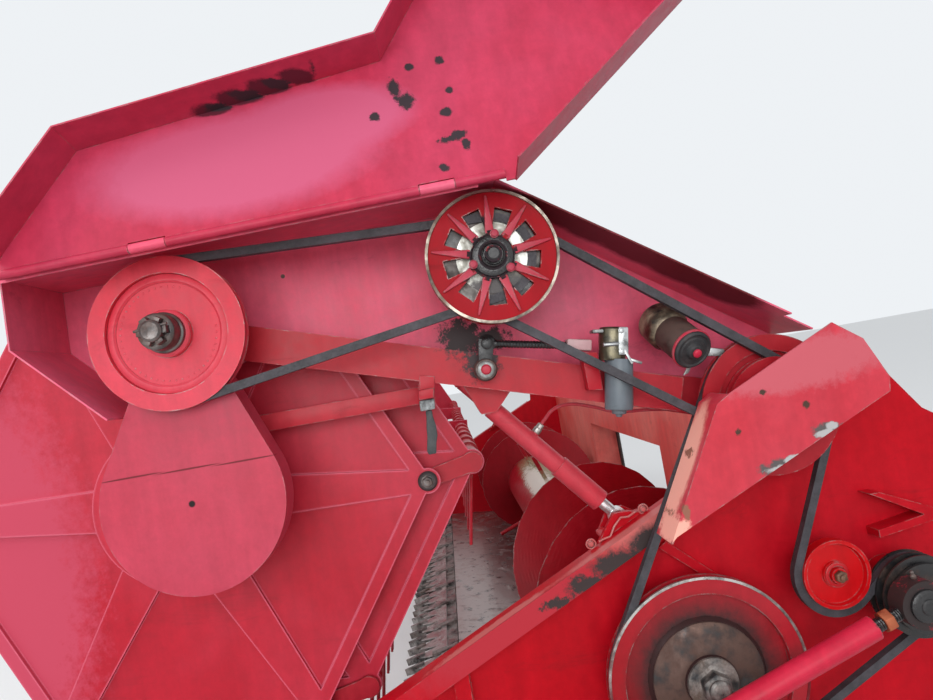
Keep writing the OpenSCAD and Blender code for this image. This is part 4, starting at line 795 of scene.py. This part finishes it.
fitted(joined(nut, washer, end), "auger",
       steel("greasy_grey", bare=(0.36, 0.33, 0.31), rust=(0.10, 0.065, 0.05), rusting=0.45, grease=0.35,
             bump=0.6))
rim = turned("auger_pulley_rim", (1.6130, *auger_centre), (1, 0, 0),
             [(0.1846, -0.0042), (0.1846, 0.0008), (0.1800, 0.0008), (0.1795, 0.0), (0.1795, -0.0042)],
             sides=128, soften=0, ring=True)
painted_low = ((0.16, 0.012, 0.016), 0.45, [((1.61, 0.0, 0.230), (0.05, 0.30, 0.215), 0.35)])
fitted(rim, "auger", steel("bright_rim", bare=(0.50, 0.49, 0.47), rust=(0.10, 0.05, 0.045), rusting=0.3,
                           grease=0.3, patches=[painted_low]))
idler_hub = turned("idler_hub_ring", (1.6098, *idler_centre), (1, 0, 0),
                   [(0.0225, 0.0), (0.0225, 0.003), (0.018, 0.004), (0.016, 0.004), (0.016, 0.0)],
                   ring=True)
fitted(idler_hub, "idler", painted("idler_hub_paint", (0.50, 0.001, 0.005), (0.52, 0.02, 0.03), bleach=0.5,
                                   rubbing=1.2, grime=0.3))
idler_bolt = turned("idler_bolt", (1.6195, *idler_centre), (1, 0, 0),
                    [(0.0115, 0.0), (0.0115, 0.008), (0.0095, 0.010), (0.006, 0.010), (0.006, 0.014)],
                    sides=6, soften=0.0008)
fitted(idler_bolt, "idler", steel("rusty_bolt", bare=(0.20, 0.12, 0.08), rust=(0.16, 0.06, 0.03),
                                  rusting=0.6, grease=0.2))

# knife drive rod's lock nut
# The rod screws into its crank bearing, where a lock nut, bare and orange with rust, holds its length.
rod_way = Vector((0, -0.9484, -0.3173))
crank = Vector((1.674, *crank_centre))
lock_nut = turned("rod_lock_nut", crank, rod_way,
                  [(0.0185, 0.056), (0.0195, 0.058), (0.0195, 0.072), (0.0185, 0.074)], sides=6,
                  soften=0.001)
fitted(lock_nut, "knife_rod", steel("orange_nut", bare=(0.42, 0.10, 0.05), rust=(0.40, 0.13, 0.05),
                                    rusting=0.6, grease=0.1))
neck = [(0.0118 if i % 2 else 0.0128, 0.040 + 0.0022 * i) for i in range(24)]
neck = turned("rod_threads", crank, rod_way, [(0.0135, 0.030), (0.0135, 0.040), *neck], sides=20, soften=0)
fitted(neck, "knife_rod", greasy)
big_end = turned("rod_bearing_cap", (1.6955, *crank_centre), (1, 0, 0),
                 [(0.0290, 0.0), (0.0280, 0.005), (0.0220, 0.007), (0.0140, 0.007), (0.013, 0.010),
                  (0.008, 0.011)])
fitted(big_end, "knife_rod", greasy)
nipple = turned("rod_grease_nipple", crank + Vector((0, 0.0, 0.041)), (0.1, -0.2, 1),
                [(0.005, 0.0), (0.005, 0.006), (0.003, 0.008), (0.0035, 0.013), (0.002, 0.015)], sides=16)
fitted(nipple, "knife_rod", dark_iron)

# stay bar and cover latch
# A flat bar bolted between the arm and the chain case steadies the plate's ring. Beside it hangs the
# rubber strap that holds the closed cover, in a folded clip with a plated keeper.
bar_red = painted("stay_bar_paint", (0.48, 0.012, 0.025), (0.54, 0.04, 0.06), bleach=0.7, rubbing=1.2,
                  grime=0.3)
stay = bar("stay_bar", (1.500, -0.6125, 0.9335), (0.005, 0.405, 0.034))
spacer = turned("stay_spacer", (1.5020, -0.795, 0.9335), (1, 0, 0), [(0.012, 0.0), (0.012, 0.0555)],
                sides=24)
drop = folded("stay_drop", [(-0.432, 0.957), (-0.400, 0.948), (-0.404, 0.914), (-0.430, 0.914)], 1.5028,
              1.5128)
fitted(joined(stay, spacer, drop), "reel_frame", bar_red)
hanger = folded("latch_hanger", [(-0.424, 0.972), (-0.396, 0.966), (-0.402, 0.936), (-0.430, 0.936)],
                1.5583, 1.5613)
clip = folded("latch_clip", [(-0.431, 0.945), (-0.4005, 0.945), (-0.4035, 0.926), (-0.4325, 0.926)], 1.5606,
              1.5756, soften=0.003)
fitted(joined(hanger, clip), "reel_frame", bar_red)
keeper = folded("latch_keeper", [(-0.4325, 0.9255), (-0.4035, 0.9255), (-0.4050, 0.9050),
                                 (-0.4330, 0.9050)], 1.5610, 1.5770, soften=0.003)
fitted(keeper, "reel_frame", steel("plated_keeper", bare=(0.52, 0.55, 0.56), rust=(0.05, 0.05, 0.05),
                                   rusting=0.25, grease=0.45))
tongue = folded("latch_strap", [(-0.4240, 0.9045), (-0.4120, 0.9045), (-0.4118, 0.892), (-0.4090, 0.874),
                                (-0.4095, 0.856), (-0.4140, 0.842), (-0.4160, 0.830), (-0.4175, 0.823),
                                (-0.4320, 0.823), (-0.4340, 0.830), (-0.4320, 0.842), (-0.4290, 0.856),
                                (-0.4275, 0.874), (-0.4245, 0.892)], 1.5630, 1.5700, soften=0.002)
fitted(tongue, "reel_frame", rubber("strap_rubber", (0.030, 0.033, 0.036), (0.10, 0.10, 0.10), 0.6))

# belt guard
# A flat blade of sheet over the lower belts, folded along its front. Its front flange carries a painted
# highlight in pale salmon. Its lower corner is worn to pale metal with thin lines of rust.
guard_x, worn_x = 1.718, 1.720
guard_highlight_and_stains = [
    ((0.57, 0.10, 0.13), 0.45, [((guard_x, 0.200, 0.880), (0.05, 0.20, 0.050), 0.5)]),
    # A painted highlight in pale salmon on the front flange
    ((0.94, 0.44, 0.35), 0.55, [((1.664, 0.010, 0.735), (0.044, 0.080, 0.180), 0.3),
                                ((1.690, -0.040, 0.640), (0.060, 0.036, 0.026), 0.8)]),
    ((0.30, 0.12, 0.08), 0.7, [((1.664, -0.040, 0.664), (0.03, 0.010, 0.010), 1.6),
                               ((1.664, 0.020, 0.760), (0.02, 0.005, 0.018), 1.8),
                               ((guard_x, -0.020, 0.668), (0.02, 0.006, 0.012), 2.0)]),
    ((0.10, 0.085, 0.085), 0.45, [((worn_x, 0.160, 0.7140), (0.03, 0.046, 0.0150), 0.9),
                                  ((worn_x, 0.244, 0.7610), (0.03, 0.032, 0.013), 0.9)]),
    ((0.46, 0.45, 0.45), 0.35, [((worn_x, 0.158, 0.7115), (0.03, 0.032, 0.0070), 0.8),
                                ((worn_x, 0.176, 0.7225), (0.03, 0.018, 0.008), 0.8),
                                ((worn_x, 0.236, 0.7565), (0.03, 0.018, 0.0065), 0.8),
                                ((worn_x, 0.252, 0.7665), (0.03, 0.012, 0.007), 0.8)]),
    ((0.06, 0.03, 0.02), 0.6, [((guard_x, 0.2145, 0.810), (0.03, 0.007, 0.008), 1.2),
                               ((guard_x, 0.091, 0.784), (0.03, 0.006, 0.007), 1.6),
                               ((guard_x, 0.1457, 0.8428), (0.03, 0.006, 0.006), 1.8)]),
]
dress(painted("guard_paint", (0.56, 0.026, 0.046), (0.60, 0.060, 0.09), bleach=0.6, rubbing=1.2, grime=0.2,
              sheen=0.3, patches=guard_highlight_and_stains), "belt_shield")

# belt cover
# The lid of the belt tray, swung up on its hinge. Its inner face has bleached towards pink and carries a
# broad painted reflection of the sky's sheen; the flange along its top is darkened with painted shade,
# dark streaks run along the fold, and it carries old grease where the belts threw it.
old_grease = [
    ((1.7001, -0.8770, 1.4650), (0.05, 0.018, 0.012), 0.9),
    ((1.6990, -0.5060, 1.5080), (0.05, 0.008, 0.007), 0.8),
    ((1.7000, -0.3459, 1.4930), (0.05, 0.009, 0.008), 0.8),
    ((1.6995, -0.2930, 1.4970), (0.05, 0.009, 0.009), 0.8),
    ((1.7134, -0.2863, 1.4372), (0.05, 0.008, 0.007), 0.8),
    ((1.7225, -0.2985, 1.3975), (0.05, 0.012, 0.009), 0.7),
    ((1.7182, -0.4170, 1.4117), (0.05, 0.009, 0.009), 1.2),
    ((1.7110, -0.3760, 1.4560), (0.05, 0.012, 0.022), 1.2),
    ((1.7110, -0.3600, 1.4300), (0.05, 0.014, 0.016), 1.2),
    ((1.7350, -0.3020, 1.3480), (0.05, 0.018, 0.007), 1.4),
    ((1.7350, -0.2820, 1.3550), (0.05, 0.014, 0.008), 1.4),
    ((1.7350, -0.2760, 1.3330), (0.05, 0.010, 0.010), 1.4),
    ((1.7430, -0.3188, 1.2990), (0.05, 0.010, 0.008), 1.2),
]
cover_sheen_shade_and_grease = [
    # A painted reflection: a broad pink sheen of the sky on the inner face
    ((0.58, 0.095, 0.19), 0.42, [((1.72, -0.66, 1.37), (0.2, 0.26, 0.10), 0.1),
                                 ((1.72, -0.50, 1.42), (0.2, 0.16, 0.07), 0.1)]),
    # Painted shade on the flange along the top edge
    ((0.36, 0.020, 0.046), 0.5, [((1.655, -0.86, 1.470), (0.058, 0.20, 0.06), 0.2),
                                 ((1.655, -0.66, 1.500), (0.058, 0.20, 0.05), 0.2),
                                 ((1.655, -0.48, 1.530), (0.058, 0.16, 0.05), 0.2)]),
    ((0.11, 0.014, 0.028), 0.5, [((1.718, -0.6840, 1.4690), (0.05, 0.034, 0.008), 0.5),
                                 ((1.718, -0.6360, 1.4800), (0.05, 0.040, 0.008), 0.5),
                                 ((1.718, -0.5840, 1.4895), (0.05, 0.040, 0.007), 0.5),
                                 ((1.718, -0.5350, 1.4985), (0.05, 0.034, 0.006), 0.5)]),
    ((0.035, 0.022, 0.028), 0.5, [((1.718, -0.6700, 1.4725), (0.05, 0.026, 0.0050), 0.8),
                                  ((1.718, -0.6200, 1.4830), (0.05, 0.028, 0.0045), 0.8),
                                  ((1.718, -0.5700, 1.4925), (0.05, 0.026, 0.0040), 0.8), *old_grease]),
]
dress(painted("cover_paint", (0.50, 0.024, 0.062), (0.56, 0.050, 0.115), bleach=0.8, rubbing=0.7,
              grime=0.10, patches=cover_sheen_shade_and_grease), "belt_cover")

# lift cylinders
# Single-acting cylinders raise the reel. Their painted barrels hang from the arms, and the chromed rods
# stand on lugs inside the side walls.
dress(painted("cylinder_paint", (0.55, 0.028, 0.045), (0.62, 0.07, 0.10), bleach=0.6, rubbing=0.8,
              grime=0.35), "ram_barrel_left", "ram_barrel_right")
dress(steel("chromed_rod", bare=(0.78, 0.79, 0.80), rust=(0.3, 0.2, 0.15), rusting=0.0, grease=0.02,
            bump=0.02), "ram_rod_left", "ram_rod_right")


# oil line and lugs of the left cylinder
# A steel pipe, sprayed over in red, feeds the cylinder through a plated union. Bent bars hold the
# pins at both ends against turning, each under one screw.
def piped(name, points, radius, knee="AUTO"):
    curve = bpy.data.curves.new(name, "CURVE")
    curve.dimensions = "3D"
    curve.bevel_depth = radius
    curve.bevel_resolution = 3
    curve.use_fill_caps = True
    line = curve.splines.new("BEZIER")
    line.bezier_points.add(len(points) - 1)
    for knot, point in zip(line.bezier_points, points):
        knot.co = point
        knot.handle_left_type = knot.handle_right_type = knee
    piece = bpy.data.objects.new(name, curve)
    scene.collection.objects.link(piece)
    only(piece)
    bpy.ops.object.convert(target="MESH")
    piece = bpy.context.object
    bpy.ops.object.mode_set(mode="EDIT")
    finished(weld=0.00002)
    return piece


line_x, port_x, clip_x = 1.490, 1.486, 1.531
line_way = ((-0.1930, 0.8450), (-0.1775, 0.8581), (-0.1456, 0.8640), (-0.1000, 0.8520), (-0.0568, 0.8345),
            (0.0200, 0.8240), (0.0967, 0.8110), (0.140, 0.8080))
pipe = piped("oil_line", [(port_x, -0.2069, 0.8310), *[(line_x, y, z) for y, z in line_way]], 0.0036)
fitted(pipe, "ram_barrel_left",
       painted("pipe_paint", (0.46, 0.012, 0.025), (0.56, 0.06, 0.09), bleach=0.9, rubbing=1.0, grime=0.4))
up_the_line = (0, 0.70, 0.71)
union = turned("oil_union", (port_x, -0.2180, 0.8195), up_the_line,
               [(0.0085, 0.0), (0.0085, 0.010), (0.0072, 0.011), (0.0072, 0.019), (0.0055, 0.021)], sides=6,
               soften=0.0008)
fitted(union, "ram_barrel_left", zinc)
port = turned("oil_port", (port_x, -0.2300, 0.8073), up_the_line, [(0.0078, 0.0), (0.0078, 0.017)],
              sides=24)
fitted(port, "ram_barrel_left", bpy.data.materials["cylinder_paint"])
lug_pink = painted("clip_paint", (0.46, 0.03, 0.04), (0.68, 0.24, 0.22), bleach=1.0, rubbing=1.6, grime=0.3)
upper_lug, to_lower_lug = (1.5285, -0.0438, 0.6421), (0, -0.1118, -0.0476)
lug_screw = bolt("lug_screws", upper_lug, (1, 0, 0), across_flats=0.009, high=0.006, washer=0.0065,
                 thread=0)
ring = turned("lug_rings", upper_lug, (1, 0, 0),
              [(0.0105, 0.0), (0.0105, 0.0035), (0.0075, 0.0035), (0.0075, 0.0)], sides=24, ring=True)
clip_way = ((-0.0600, 0.6400), (-0.0750, 0.6330), (-0.0900, 0.6340), (-0.1050, 0.6200), (-0.1160, 0.6020),
            (-0.1280, 0.6000), (-0.1400, 0.5960))
wire = piped("lug_clip", [(clip_x, y, z) for y, z in clip_way], 0.0022, knee="VECTOR")
lugs = joined(again(joined(lug_screw, ring), [to_lower_lug]), wire)
fitted(lugs, "platform", lug_pink)
